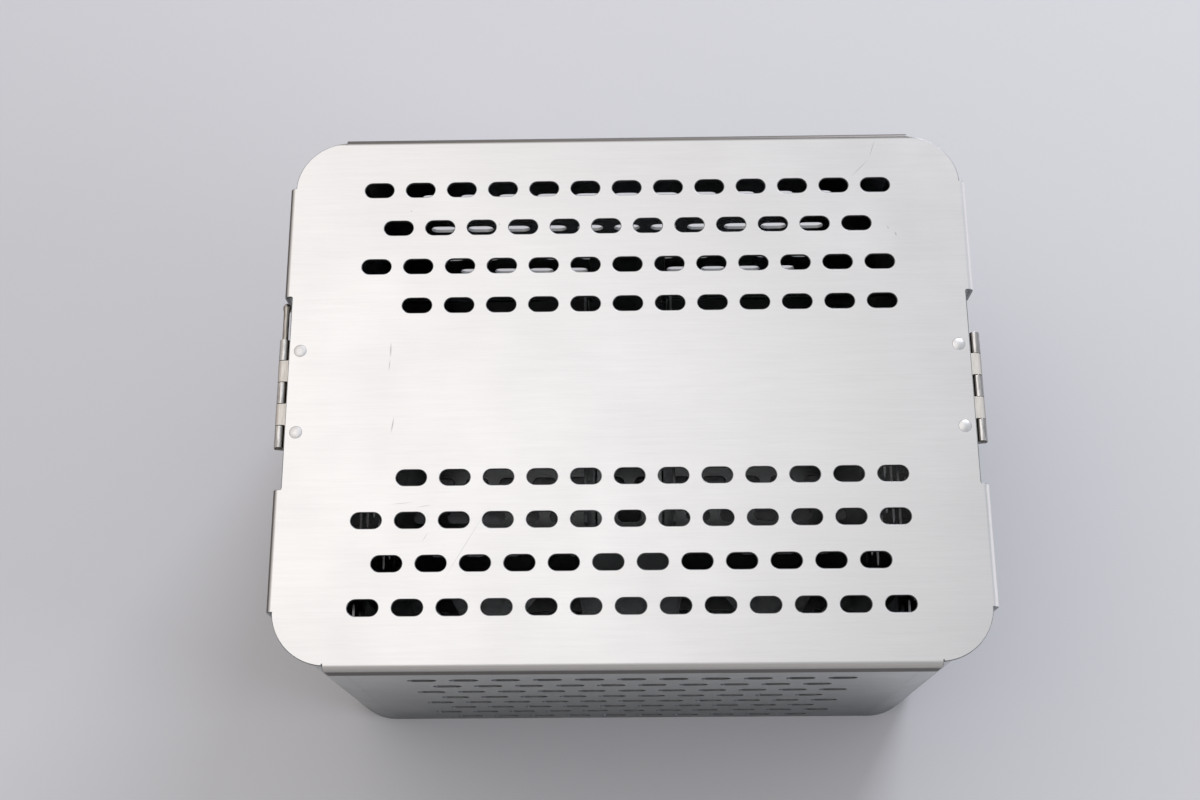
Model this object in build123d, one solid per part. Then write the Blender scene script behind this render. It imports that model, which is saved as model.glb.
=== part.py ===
from build123d import *
import os
from math import floor

# Perforated aluminium sterilization container with a lift-off lid.
# Millimetres. Origin on the floor under the middle, +X to the right, +Y to the back, +Z up.

# ---- Perforation grid, shared by the lid, walls, floor and rack ----
PITCH = 19.05
SLOT_LENGTH = 13.4
SLOT_WIDTH = 7.15

# ---- Base box ----
BASE_LENGTH = 304.8
BASE_DEPTH = 241.3
BASE_HEIGHT = 197.9
BASE_WALL = 1.6
BASE_CORNER = 26.0
WALL_TOP_ROW_DROP = 53.4
WALL_SIDE_MARGIN = 18.0
WALL_BOTTOM_MARGIN = 9.0
FLOOR_MARGIN = 12.0

# ---- Lid ----
LID_SHEET = 1.6
LID_CLEARANCE = 1.7
LID_FLANGE_HEIGHT = 15.0
LID_BEND_RADIUS = 2.6
LID_FRONT_FLANGE_INSET = 25.2
LID_SIDE_FLANGE_START = 45.0
LID_SIDE_FLANGE_INSET = 24.9
LID_CORNER_RADIUS = 24.0
LID_CORNER_STEP_X = 2.6
LID_CORNER_STEP_Y = 2.0
LID_NOTCH_DEPTH = 3.7
LID_FIRST_ROW = 40.25
LID_END_MARGIN = 30.0
LID_SIDE_MARGIN = 18.0
LID_SHIFTED_ROW = 2

# ---- Latch hinges ----
HINGE_SHEET = 0.8
PIN_RADIUS = 1.35
PIN_FIT = 0.05
KNUCKLES = 5
KNUCKLE_LENGTH = 10.16
KNUCKLE_GAP = 0.2
BARREL_GAP = 0.3
LEAF_REACH = 11.9
RIM_RELIEF_DEPTH = 1.8
RIM_RELIEF_GAP = 1.6
PIN_TAIL_LENGTH = 16.6
PIN_KNOB_RADIUS = 2.0
PIN_KNOB_LEG = 6.0

# ---- Latch plates ----
LATCH_DROP = 37.2
LATCH_GAP = 0.3
LATCH_BEND = 0.9
HOOK_CLEARANCE = 0.4
LATCH_TIP_WIDTH = 33.0
HOOK_WIDTH = 7.0
HOOK_SPACING = 25.0
TAB_WIDTH = 16.0
TAB_DROP = 3.0
TAB_LENGTH = 9.0
TAB_FLARE = 3.5
TAB_BEND = 4.0
RELEASE_ANGLE = 6.0

# ---- End brackets: keeper lip above, handle rolls below ----
BRACKET_SHEET = 1.2
BRACKET_WIDTH = 76.0
BRACKET_HEIGHT = 36.0
BRACKET_BEND = 1.0
BRACKET_SLOT_GAP = 2.0
KEEPER_LIP_WIDTH = 48.0
KEEPER_LIP_RISE = 6.0
ROLL_LENGTH = 10.0
BRACKET_RIVET_SPACING = 60.0
BRACKET_RIVET_DROPS = (12.0, 28.0)

# ---- Drop handles ----
HANDLE_WIRE_RADIUS = 2.5
HANDLE_FIT = 0.05
HANDLE_WIDTH = 92.0
HANDLE_DROP = 48.0
HANDLE_LEG_BEND = 5.0
HANDLE_GRIP_BEND = 12.0
HANDLE_LEG_GAP = 0.5

# ---- Rivets ----
RIVET_SHANK_RADIUS = 1.6
RIVET_TAIL_RADIUS = 2.6
RIVET_TAIL_HEIGHT = 1.1
FLUSH_HEAD_RADIUS = 2.85
FLUSH_HEAD_DEPTH = 1.25
FLUSH_HEAD_GAP = 0.1
DOME_HEAD_RADIUS = 3.0
DOME_HEAD_HEIGHT = 1.4
LID_RIVET_INSET = 8.7
LID_RIVET_SPACING = 38.1

# ---- Instrument rack inside the base ----
RACK_SHEET = 1.2
RACK_BEND = 1.8
RACK_END_GAP = 17.2
RACK_SIDE_GAP = 49.05
RACK_END_HEIGHT = 135.6
RACK_END_MARGIN = 12.0
RACK_PARTITION_SPACING = 39.2
RACK_PARTITION_CLEARANCE = 12.0
RACK_PARTITION_STEP = 10.8
RACK_CROSS_HEIGHT = 130.4
RACK_CENTRE_WIDTH = 35.0
RACK_FOOT = 12.0
RACK_RIM = 7.0
WINDOW_INSET = 6.0
WINDOW_WIDTH = 32.0
WINDOW_TOP_WIDTH = 16.0
WINDOW_HEIGHT = 74.0
WINDOW_SILL = 26.0
WINDOW_CORNER = 6.0
VENT_OFFSET = 76.0
VENT_WIDTH = 10.0
VENT_HEIGHT = 92.0
RACK_RIVET_ROWS = (-2, 0, 2)
RACK_RIVET_COLUMNS = (2.5, 5.5)

# ---- Places worked out from the sizes above ----
half_length = BASE_LENGTH / 2
half_depth = BASE_DEPTH / 2
lid_top = BASE_HEIGHT + LID_SHEET
lid_half_length = half_length + LID_CLEARANCE + LID_SHEET
lid_half_depth = half_depth + LID_CLEARANCE + LID_SHEET
rivet_x = lid_half_length - LID_RIVET_INSET
pin_bore = PIN_RADIUS + PIN_FIT
barrel_radius = pin_bore + HINGE_SHEET
barrel_length = KNUCKLES * KNUCKLE_LENGTH
axis_x = half_length + BARREL_GAP + barrel_radius
axis_z = BASE_HEIGHT - barrel_radius
latch_inner_x = axis_x + barrel_radius - HINGE_SHEET
hook_z = axis_z - LATCH_DROP
keeper_top = hook_z + LATCH_GAP + BRACKET_SHEET
handle_bore = HANDLE_WIRE_RADIUS + HANDLE_FIT
roll_radius = handle_bore + BRACKET_SHEET
handle_x = half_length + roll_radius
handle_z = keeper_top - BRACKET_HEIGHT
rack_half_length = half_length - BASE_WALL - RACK_END_GAP
rack_half_depth = half_depth - BASE_WALL - RACK_SIDE_GAP
partition_top = BASE_HEIGHT - RACK_PARTITION_CLEARANCE
partition_x = RACK_PARTITION_SPACING / 2
foot_middle = RACK_FOOT / 2


# ---- Helpers ----
def row_centres(half_span, margin, shifted):
    """Slot centres of one row, on the pitch or shifted by half a pitch."""
    steps = floor((half_span - margin) / PITCH)
    if shifted:
        return [(step + 0.5) * PITCH for step in range(-steps, steps)]
    return [step * PITCH for step in range(-steps, steps + 1)]


def slots_at(points):
    """Slots lying along the sketch's first axis, one for each point."""
    return [Pos(x, y) * SlotOverall(SLOT_LENGTH, SLOT_WIDTH) for x, y in points]


def wall_rows():
    """Heights of the slot rows of an upright wall, from the top one down."""
    top_row = BASE_HEIGHT - WALL_TOP_ROW_DROP
    count = floor((top_row - WALL_BOTTOM_MARGIN) / PITCH) + 1
    return [top_row - row * PITCH for row in range(count)]


def wall_points(half_span, margin):
    """Slot centres of an upright wall: every other row is shifted."""
    points = []
    for row, height in enumerate(wall_rows()):
        for along in row_centres(half_span, margin, row % 2 == 1):
            points.append((along, height))
    return points


def block(x_range, y_range, z_range):
    """A box between two values on each axis."""
    ranges = (x_range, y_range, z_range)
    size = [high - low for low, high in ranges]
    centre = [(high + low) / 2 for low, high in ranges]
    return Pos(*centre) * Box(*size)


def rod_y(radius, y_range, x, z):
    """A round rod along Y."""
    length = y_range[1] - y_range[0]
    middle = (y_range[0] + y_range[1]) / 2
    return Pos(x, middle, z) * Rot(90, 0, 0) * Cylinder(radius, length)


def strip_along_y(points, bend, thickness, y_range):
    """Bent sheet along Y: its centre line is given in X and Z."""
    section = Plane.XZ * trace(FilletPolyline(*points, radius=bend), thickness)
    return Pos(0, y_range[1], 0) * extrude(section, amount=y_range[1] - y_range[0])


def strip_along_x(points, bend, thickness, x_range):
    """Bent sheet along X: its centre line is given in Y and Z."""
    section = Plane.YZ * trace(FilletPolyline(*points, radius=bend), thickness)
    return Pos(x_range[0], 0, 0) * extrude(section, amount=x_range[1] - x_range[0])


def to_left(shape):
    """The same piece at the left-hand end."""
    return mirror(shape, about=Plane.YZ)


def to_back(shape):
    """The same piece on the other long side."""
    return mirror(shape, about=Plane.XZ)


def save(name, *solids):
    """Write one node, as one solid or as a group of separate solids."""
    shape = solids[0] if len(solids) == 1 else Compound(children=list(solids))
    export_step(shape, f"parts/{name}.step")


# ---- Rivets ----
def rivet_body(grip):
    """Shank and closed tail of a rivet whose head's seat is at the origin, pointing down."""
    shank = Pos(0, 0, -grip / 2) * Cylinder(RIVET_SHANK_RADIUS, grip)
    tail = Pos(0, 0, -grip - RIVET_TAIL_HEIGHT / 2) * Cylinder(RIVET_TAIL_RADIUS, RIVET_TAIL_HEIGHT)
    return shank + tail


def flush_head(gap):
    """Countersunk cone with its flat top at the origin, wider all round by a gap."""
    cone = Cone(RIVET_SHANK_RADIUS + gap, FLUSH_HEAD_RADIUS + gap, FLUSH_HEAD_DEPTH)
    return Pos(0, 0, -FLUSH_HEAD_DEPTH / 2) * cone


def flush_rivet(grip):
    """Rivet with a countersunk head."""
    return rivet_body(grip) + flush_head(0)


def dome_rivet(grip):
    """Rivet with a low round head."""
    ball_radius = (DOME_HEAD_RADIUS**2 + DOME_HEAD_HEIGHT**2) / (2 * DOME_HEAD_HEIGHT)
    ball = Pos(0, 0, DOME_HEAD_HEIGHT - ball_radius) * Sphere(ball_radius)
    above = Pos(0, 0, ball_radius) * Box(3 * ball_radius, 3 * ball_radius, 2 * ball_radius)
    return rivet_body(grip) + (ball & above)


def flush_hole(depth):
    """Cutter for a flush rivet through a sheet of a given depth, from its face down."""
    shank = Pos(0, 0, -depth / 2) * Cylinder(RIVET_SHANK_RADIUS, depth)
    return shank + flush_head(FLUSH_HEAD_GAP)


def lid_rivet_places():
    """Places of the flush rivets over one hinge leaf."""
    return [(rivet_x, side * LID_RIVET_SPACING / 2) for side in (-1, 1)]


def bracket_rivet_places():
    """Places of one bracket's rivets, as Y and Z."""
    return [
        (side * BRACKET_RIVET_SPACING / 2, keeper_top - drop)
        for side in (-1, 1)
        for drop in BRACKET_RIVET_DROPS
    ]


def rack_rivet_places():
    """Places of the rivets through the floor and the rack's feet, on lines between slot rows."""
    places = []
    for x in (rack_half_length + foot_middle, partition_x - foot_middle):
        for row in RACK_RIVET_ROWS:
            places += [(x, row * PITCH), (-x, row * PITCH)]
    for column in RACK_RIVET_COLUMNS:
        x = column * PITCH
        for side in (-1, 1):
            foot_y = side * (rack_half_depth + foot_middle)
            places += [(x, foot_y), (-x, foot_y)]
    return places


# ---- Base box ----
def front_wall():
    """Flat perforated wall between the two U-shaped ends."""
    flat = half_length - BASE_CORNER
    face = Pos(0, BASE_HEIGHT / 2) * Rectangle(2 * flat, BASE_HEIGHT)
    face -= slots_at(wall_points(flat, WALL_SIDE_MARGIN))
    return extrude(Plane.XZ.offset(half_depth) * face, amount=-BASE_WALL)


def clear_of_bracket(along, height):
    """Whether an end-wall slot stays clear of the bracket and its rivets."""
    beside = abs(along) - SLOT_LENGTH / 2 > BRACKET_WIDTH / 2 + BRACKET_SLOT_GAP
    below = height + SLOT_WIDTH / 2 < handle_z - roll_radius
    above = height - SLOT_WIDTH / 2 > keeper_top
    return beside or below or above


def right_end_wall():
    """U-shaped end: a flat perforated wall with both rounded corners, relieved for the hinge leaf."""
    flat = half_depth - BASE_CORNER
    points = [p for p in wall_points(flat, WALL_SIDE_MARGIN) if clear_of_bracket(*p)]
    face = Pos(0, BASE_HEIGHT / 2) * Rectangle(2 * flat, BASE_HEIGHT)
    relief = Rectangle(barrel_length + 2 * RIM_RELIEF_GAP, 2 * RIM_RELIEF_DEPTH)
    face -= slots_at(points)
    face -= Pos(0, BASE_HEIGHT) * relief
    face -= [Pos(*place) * Circle(RIVET_SHANK_RADIUS) for place in bracket_rivet_places()]
    wall = extrude(Plane.YZ.offset(half_length) * face, amount=-BASE_WALL)
    ring = Circle(BASE_CORNER) - Circle(BASE_CORNER - BASE_WALL)
    quarter = ring & (Pos(BASE_CORNER / 2, BASE_CORNER / 2) * Rectangle(BASE_CORNER, BASE_CORNER))
    corner = Pos(half_length - BASE_CORNER, flat, 0) * extrude(quarter, amount=BASE_HEIGHT)
    return wall + corner + to_back(corner)


def base_floor():
    """Perforated floor that fits inside the walls."""
    inner_length = BASE_LENGTH - 2 * BASE_WALL
    inner_depth = BASE_DEPTH - 2 * BASE_WALL
    face = RectangleRounded(inner_length, inner_depth, BASE_CORNER - BASE_WALL)
    points = []
    rows = row_centres(inner_depth / 2, FLOOR_MARGIN, True)
    for row, y in enumerate(rows):
        points += [(x, y) for x in row_centres(inner_length / 2, WALL_SIDE_MARGIN, row % 2 == 1)]
    face -= slots_at(points)
    plate = extrude(face, amount=BASE_WALL)
    hole = Rot(180, 0, 0) * flush_hole(BASE_WALL)
    return plate - [Pos(x, y, 0) * hole for x, y in rack_rivet_places()]


# ---- End brackets and handles ----
def right_bracket():
    """Sheet bracket with a keeper lip bent outward at the top and two handle rolls at the bottom."""
    outer = half_length + BRACKET_SHEET
    half_width = BRACKET_WIDTH / 2
    lip_start = keeper_top - KEEPER_LIP_RISE
    plate = block((half_length, outer), (-half_width, half_width), (handle_z + roll_radius, lip_start))
    middle = half_length + BRACKET_SHEET / 2
    lip_z = keeper_top - BRACKET_SHEET / 2
    lip_end = latch_inner_x - HOOK_CLEARANCE
    lip_points = [(middle, lip_start - BRACKET_SHEET), (middle, lip_z), (lip_end, lip_z)]
    lip_width = (-KEEPER_LIP_WIDTH / 2, KEEPER_LIP_WIDTH / 2)
    lip = strip_along_y(lip_points, BRACKET_BEND, BRACKET_SHEET, lip_width)
    roll_width = (half_width - ROLL_LENGTH, half_width)
    roll = rod_y(roll_radius, roll_width, handle_x, handle_z)
    roll += block((half_length, outer), roll_width, (handle_z, handle_z + roll_radius + BRACKET_SHEET))
    roll -= rod_y(handle_bore, roll_width, handle_x, handle_z)
    holes = [
        Pos(half_length, y, z) * Rot(0, 90, 0) * Cylinder(RIVET_SHANK_RADIUS, 4 * BRACKET_SHEET)
        for y, z in bracket_rivet_places()
    ]
    return plate + lip + roll + to_back(roll) - holes


def right_bracket_rivets():
    """Round-headed rivets through the bracket and the end wall."""
    rivet = Rot(0, 90, 0) * dome_rivet(BRACKET_SHEET + BASE_WALL)
    seat = half_length + BRACKET_SHEET
    return [Pos(seat, y, z) * rivet for y, z in bracket_rivet_places()]


def right_handle():
    """Wire bail that hangs from the bracket's rolls."""
    leg_end = BRACKET_WIDTH / 2 - ROLL_LENGTH + HANDLE_LEG_GAP
    arm = HANDLE_WIDTH / 2
    low = handle_z - HANDLE_DROP
    outline = [(leg_end, handle_z), (arm, handle_z), (arm, low)]
    points = outline + [(-y, z) for y, z in reversed(outline)]
    bends = [HANDLE_LEG_BEND, HANDLE_GRIP_BEND, HANDLE_GRIP_BEND, HANDLE_LEG_BEND]
    path = FilletPolyline(*[(handle_x, y, z) for y, z in points], radius=bends)
    return sweep(Plane(path @ 0, z_dir=path % 0) * Circle(HANDLE_WIRE_RADIUS), path=path)


# ---- Lid ----
def lid_points():
    """Slot centres of the lid: a band of four rows at the front and one at the back."""
    rows = floor((lid_half_depth - LID_FIRST_ROW - LID_SIDE_MARGIN) / PITCH) + 1
    points = []
    for row in range(rows):
        centres = row_centres(lid_half_length, LID_END_MARGIN, row == LID_SHIFTED_ROW)
        if row == 0:
            centres = centres[1:]
        for y in (LID_FIRST_ROW + row * PITCH, -LID_FIRST_ROW - row * PITCH):
            points += [(x, y) for x in centres]
    return points


def lid_outline():
    """Outline of the lid's flat, with the edges of the bends and the hinge notches cut in."""
    length = 2 * (lid_half_length - LID_CORNER_STEP_X)
    depth = 2 * (lid_half_depth - LID_CORNER_STEP_Y)
    face = RectangleRounded(length, depth, LID_CORNER_RADIUS)
    long_edge = 2 * (lid_half_length - LID_FRONT_FLANGE_INSET)
    side_edge = lid_half_depth - LID_SIDE_FLANGE_INSET
    bend_strip = Rectangle(2 * LID_BEND_RADIUS, 2 * side_edge)
    notch = Rectangle(2 * LID_NOTCH_DEPTH, 2 * LID_SIDE_FLANGE_START)
    for side in (-1, 1):
        face -= Pos(0, side * lid_half_depth) * Rectangle(long_edge, 2 * LID_BEND_RADIUS)
        face -= Pos(side * lid_half_length, 0) * bend_strip
        face -= Pos(side * lid_half_length, 0) * notch
    return face


def flange_points(edge):
    """Centre line of a flange bent down from the lid, for an outer face at edge."""
    middle = edge - LID_SHEET / 2
    level = lid_top - LID_SHEET / 2
    start = edge - LID_BEND_RADIUS - LID_SHEET
    return [(start, level), (middle, level), (middle, lid_top - LID_FLANGE_HEIGHT)]


def lid_panel():
    """One sheet with a long flange front and back and two short flanges at each end."""
    face = lid_outline() - slots_at(lid_points())
    plate = Pos(0, 0, BASE_HEIGHT) * extrude(face, amount=LID_SHEET)
    bend = LID_BEND_RADIUS - LID_SHEET / 2
    reach = lid_half_length - LID_FRONT_FLANGE_INSET
    long_flange = strip_along_x(flange_points(lid_half_depth), bend, LID_SHEET, (-reach, reach))
    side_range = (LID_SIDE_FLANGE_START, lid_half_depth - LID_SIDE_FLANGE_INSET)
    short_flange = strip_along_y(flange_points(lid_half_length), bend, LID_SHEET, side_range)
    right_pair = short_flange + to_back(short_flange)
    plate = plate + long_flange + to_back(long_flange) + right_pair + to_left(right_pair)
    holes = [Pos(x, y, lid_top) * flush_hole(LID_SHEET) for x, y in lid_rivet_places()]
    return plate - holes - [to_left(hole) for hole in holes]


# ---- Latch hinges ----
def knuckle_range(index):
    """Y range of one knuckle, counted from the front."""
    start = -barrel_length / 2 + index * KNUCKLE_LENGTH
    return (start + KNUCKLE_GAP / 2, start + KNUCKLE_LENGTH - KNUCKLE_GAP / 2)


def right_leaf():
    """Hinge leaf under the lid, with its two knuckles curled about the pin."""
    leaf_z = (BASE_HEIGHT - HINGE_SHEET, BASE_HEIGHT)
    edge = axis_x - barrel_radius - BARREL_GAP
    half_width = barrel_length / 2
    leaf = block((half_length - LEAF_REACH, edge), (-half_width, half_width), leaf_z)
    for index in range(1, KNUCKLES, 2):
        width = knuckle_range(index)
        leaf += block((edge, axis_x), width, leaf_z)
        leaf += rod_y(barrel_radius, width, axis_x, axis_z)
    leaf -= rod_y(pin_bore, (-barrel_length, barrel_length), axis_x, axis_z)
    hole = Cylinder(RIVET_SHANK_RADIUS, 4 * HINGE_SHEET)
    return leaf - [Pos(x, y, BASE_HEIGHT) * hole for x, y in lid_rivet_places()]


def right_lid_rivets():
    """Flush rivets through the lid and the leaf."""
    rivet = flush_rivet(LID_SHEET + HINGE_SHEET)
    return [Pos(x, y, lid_top) * rivet for x, y in lid_rivet_places()]


def right_pin():
    """Plain hinge pin, as long as the barrel."""
    return rod_y(PIN_RADIUS, (-barrel_length / 2, barrel_length / 2), axis_x, axis_z)


def left_pin():
    """Hinge pin with a long tail behind the barrel that ends in a bent knob."""
    knob_y = barrel_length / 2 + PIN_TAIL_LENGTH
    pin = rod_y(PIN_RADIUS, (-barrel_length / 2, knob_y), -axis_x, axis_z)
    knob = Pos(-axis_x, knob_y, axis_z) * Sphere(PIN_KNOB_RADIUS)
    leg = Pos(-axis_x, knob_y, axis_z - PIN_KNOB_LEG / 2) * Cylinder(PIN_RADIUS, PIN_KNOB_LEG)
    return pin + knob + leg


def right_latch():
    """Plate that narrows below three knuckles, with two hooks bent inward and a finger tab bent outward."""
    outer = latch_inner_x + HINGE_SHEET
    middle = latch_inner_x + HINGE_SHEET / 2
    knuckle_clear = axis_z - barrel_radius - HOOK_CLEARANCE
    bend_start = hook_z + 2 * LATCH_BEND + HINGE_SHEET
    half_width = barrel_length / 2 - KNUCKLE_GAP / 2
    half_tip = LATCH_TIP_WIDTH / 2
    right_side = [(half_width, knuckle_clear), (half_tip, bend_start)]
    corners = right_side + [(-y, z) for y, z in reversed(right_side)]
    outline = Plane.YZ.offset(latch_inner_x) * make_face(Polyline(*corners, close=True))
    latch = extrude(outline, amount=HINGE_SHEET)
    for index in range(0, KNUCKLES, 2):
        width = knuckle_range(index)
        latch += block((latch_inner_x, outer), width, (knuckle_clear, axis_z))
        latch += rod_y(barrel_radius, width, axis_x, axis_z)
    hook_level = hook_z - HINGE_SHEET / 2
    hook_end = half_length + BRACKET_SHEET + HOOK_CLEARANCE
    hook_points = [(middle, bend_start + HINGE_SHEET), (middle, hook_level), (hook_end, hook_level)]
    inner = (HOOK_SPACING - HOOK_WIDTH) / 2
    hook = strip_along_y(hook_points, LATCH_BEND, HINGE_SHEET, (inner, inner + HOOK_WIDTH))
    knee = (middle, hook_z - TAB_DROP)
    tip = (middle + TAB_FLARE, hook_z - TAB_DROP - TAB_LENGTH)
    tab_points = [(middle, bend_start + HINGE_SHEET), knee, tip]
    tab = strip_along_y(tab_points, TAB_BEND, HINGE_SHEET, (-TAB_WIDTH / 2, TAB_WIDTH / 2))
    latch = latch + hook + to_back(hook) + tab
    latch -= rod_y(pin_bore, (-barrel_length, barrel_length), axis_x, axis_z)
    return latch.rotate(Axis((axis_x, 0, axis_z), (0, -1, 0)), RELEASE_ANGLE)


# ---- Instrument rack ----
def foot_holes():
    """Cutters for the rivets in the rack's feet."""
    hole = Cylinder(RIVET_SHANK_RADIUS, 4 * RACK_SHEET)
    return [Pos(x, y, BASE_WALL) * hole for x, y in rack_rivet_places()]


def right_upright():
    """Perforated end of the rack, with a foot bent outward."""
    middle = rack_half_length - RACK_SHEET / 2
    level = BASE_WALL + RACK_SHEET / 2
    top = BASE_WALL + RACK_END_HEIGHT
    reach = rack_half_depth - RACK_SHEET
    points = [(rack_half_length + RACK_FOOT, level), (middle, level), (middle, top)]
    upright = strip_along_y(points, RACK_BEND, RACK_SHEET, (-reach, reach))
    openings = [
        place
        for place in wall_points(reach, RACK_END_MARGIN)
        if place[1] + SLOT_WIDTH < top
    ]
    cutters = [Plane.YZ * slot for slot in slots_at(openings)]
    cuts = [Pos(middle - RACK_SHEET, 0, 0) * extrude(cutter, amount=2 * RACK_SHEET) for cutter in cutters]
    return upright - cuts - foot_holes()


def right_partition():
    """Tall partition beside the middle channel: its foot bends inward and its top steps down at the ends."""
    level = BASE_WALL + RACK_SHEET / 2
    reach = rack_half_depth - RACK_SHEET
    foot_end = partition_x + RACK_SHEET / 2 - RACK_FOOT
    points = [(foot_end, level), (partition_x, level), (partition_x, partition_top)]
    across = (partition_x - RACK_SHEET, partition_x + RACK_SHEET)
    step_floor = BASE_WALL + RACK_CROSS_HEIGHT
    step = block(across, (reach - RACK_PARTITION_STEP, rack_half_depth), (step_floor, BASE_HEIGHT))
    partition = strip_along_y(points, RACK_BEND, RACK_SHEET, (-reach, reach))
    return partition - step - to_back(step) - foot_holes()


def cross_windows():
    """Cutters for one bay of a cross plate: a window with a slanted side and a tall vent."""
    inner = partition_x + WINDOW_INSET
    sill = BASE_WALL + WINDOW_SILL
    top = sill + WINDOW_HEIGHT
    corners = [(inner, sill), (inner + WINDOW_WIDTH, sill), (inner + WINDOW_TOP_WIDTH, top), (inner, top)]
    window = make_face(Polyline(*corners, close=True))
    window = fillet(window.vertices(), WINDOW_CORNER)
    vent = SlotOverall(VENT_HEIGHT, VENT_WIDTH, rotation=90)
    vent = Pos(partition_x + VENT_OFFSET, sill + VENT_HEIGHT / 2) * vent
    return [window, vent]


def back_cross_plate():
    """Cross plate with a foot and top rims bent outward and a raised middle that closes the channel."""
    middle = rack_half_depth - RACK_SHEET / 2
    level = BASE_WALL + RACK_SHEET / 2
    foot_end = rack_half_depth + RACK_FOOT
    rim_level = BASE_WALL + RACK_CROSS_HEIGHT - RACK_SHEET / 2
    half_centre = RACK_CENTRE_WIDTH / 2
    foot_points = [(foot_end, level), (middle, level)]
    bay_points = foot_points + [(middle, rim_level), (rack_half_depth + RACK_RIM, rim_level)]
    bay = strip_along_x(bay_points, RACK_BEND, RACK_SHEET, (half_centre, rack_half_length))
    centre_points = foot_points + [(middle, partition_top)]
    centre = strip_along_x(centre_points, RACK_BEND, RACK_SHEET, (-half_centre, half_centre))
    cutters = [
        Pos(0, middle + RACK_SHEET, 0) * extrude(Plane.XZ * cutter, amount=2 * RACK_SHEET)
        for cutter in cross_windows()
    ]
    plate = centre + bay + to_left(bay)
    plate -= cutters + [to_left(cutter) for cutter in cutters]
    return plate - foot_holes()


def rack_rivets():
    """Rivets with flush heads under the floor and their tails on the rack's feet."""
    rivet = Rot(180, 0, 0) * flush_rivet(BASE_WALL + RACK_SHEET)
    return [Pos(x, y, 0) * rivet for x, y in rack_rivet_places()]


# ---- Build and write every node ----
def write_base():
    wall = front_wall()
    end = right_end_wall()
    bracket = right_bracket()
    rivets = right_bracket_rivets()
    save("base_floor", base_floor())
    save("base_front_wall", wall)
    save("base_back_wall", to_back(wall))
    save("base_right_end", end)
    save("base_left_end", to_left(end))
    save("right_end_bracket", bracket)
    save("left_end_bracket", to_left(bracket))
    save("right_bracket_rivets", *rivets)
    save("left_bracket_rivets", *[to_left(rivet) for rivet in rivets])


def write_rack():
    upright = right_upright()
    partition = right_partition()
    cross = back_cross_plate()
    save("rack_right_upright", upright)
    save("rack_left_upright", to_left(upright))
    save("rack_right_partition", partition)
    save("rack_left_partition", to_left(partition))
    save("rack_back_plate", cross)
    save("rack_front_plate", to_back(cross))
    save("rack_rivets", *rack_rivets())


def write_lid():
    leaf = right_leaf()
    rivets = right_lid_rivets()
    latch = right_latch()
    save("lid_panel", lid_panel())
    save("right_hinge_leaf", leaf)
    save("left_hinge_leaf", to_left(leaf))
    save("right_hinge_pin", right_pin())
    save("left_hinge_pin", left_pin())
    save("lid_rivets", *rivets, *[to_left(rivet) for rivet in rivets])
    save("right_latch", latch)
    save("left_latch", to_left(latch))


def write_handles():
    handle = right_handle()
    save("right_handle", handle)
    save("left_handle", to_left(handle))


os.makedirs("parts", exist_ok=True)
write_base()
write_rack()
write_lid()
write_handles()
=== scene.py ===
"""Looks of a perforated aluminium sterilization container with a lift-off lid and two latch hinges.

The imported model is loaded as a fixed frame. Every piece here is a surface in that frame: a bent and
perforated sheet, a turned part or a wire. Sizes are in millimetres until a surface becomes a mesh.
"""

import logging
import math
from dataclasses import dataclass, field
from enum import Enum

import bpy
import numpy as np
from mathutils.geometry import delaunay_2d_cdt
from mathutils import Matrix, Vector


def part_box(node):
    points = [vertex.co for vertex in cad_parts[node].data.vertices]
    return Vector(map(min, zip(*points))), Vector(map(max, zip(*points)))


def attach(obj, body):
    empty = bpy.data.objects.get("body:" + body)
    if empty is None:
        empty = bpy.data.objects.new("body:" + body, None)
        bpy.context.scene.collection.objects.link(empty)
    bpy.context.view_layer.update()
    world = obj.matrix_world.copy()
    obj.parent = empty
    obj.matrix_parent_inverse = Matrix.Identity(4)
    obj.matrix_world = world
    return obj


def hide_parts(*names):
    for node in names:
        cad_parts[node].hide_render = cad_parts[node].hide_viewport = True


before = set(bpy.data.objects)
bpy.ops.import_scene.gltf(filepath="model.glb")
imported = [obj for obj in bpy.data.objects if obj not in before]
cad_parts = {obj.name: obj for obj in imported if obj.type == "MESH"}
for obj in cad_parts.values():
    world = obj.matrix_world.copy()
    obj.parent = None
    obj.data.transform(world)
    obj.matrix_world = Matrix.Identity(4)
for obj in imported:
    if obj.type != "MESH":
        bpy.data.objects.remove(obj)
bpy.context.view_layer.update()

Tree = bpy.types.NodeTree
Socket = bpy.types.NodeSocket
Node = bpy.types.Node
Material = bpy.types.Material
Pair = tuple[float, float]
Triple = tuple[float, float, float]

MM = 0.001
PER_METRE = 1000
QUARTER = math.pi / 2
CREASE_INSET = 1.0
SHARP_DEGREES = 38
TINY = 1e-6
MERGE_REACH = 1e-5
SHANK = 1.6
TAIL = 2.6
LOG = logging.getLogger("container")


class End(Enum):
    """The two ends of the container, as the sign of X."""

    LEFT = -1
    RIGHT = 1

    @property
    def word(self) -> str:
        """Name of the end, as the pieces use it."""
        return self.name.lower()


class Skin(Enum):
    """Material places of a sheet piece."""

    FACE = 0
    CUT_EDGE = 1


class Facing(Enum):
    """Ways to stand a blank: the directions of its length, of its height and of its outer face."""

    UP = ((1, 0, 0), (0, 1, 0), (0, 0, 1))
    DOWN = ((1, 0, 0), (0, -1, 0), (0, 0, -1))
    FRONT = ((1, 0, 0), (0, 0, 1), (0, -1, 0))
    BACK = ((-1, 0, 0), (0, 0, 1), (0, 1, 0))
    RIGHT = ((0, 1, 0), (0, 0, 1), (1, 0, 0))
    LEFT = ((0, -1, 0), (0, 0, 1), (-1, 0, 0))
    UP_ACROSS = ((0, 1, 0), (1, 0, 0), (0, 0, 1))
    RIGHT_TURNED = ((0, 0, 1), (0, 1, 0), (1, 0, 0))


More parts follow.
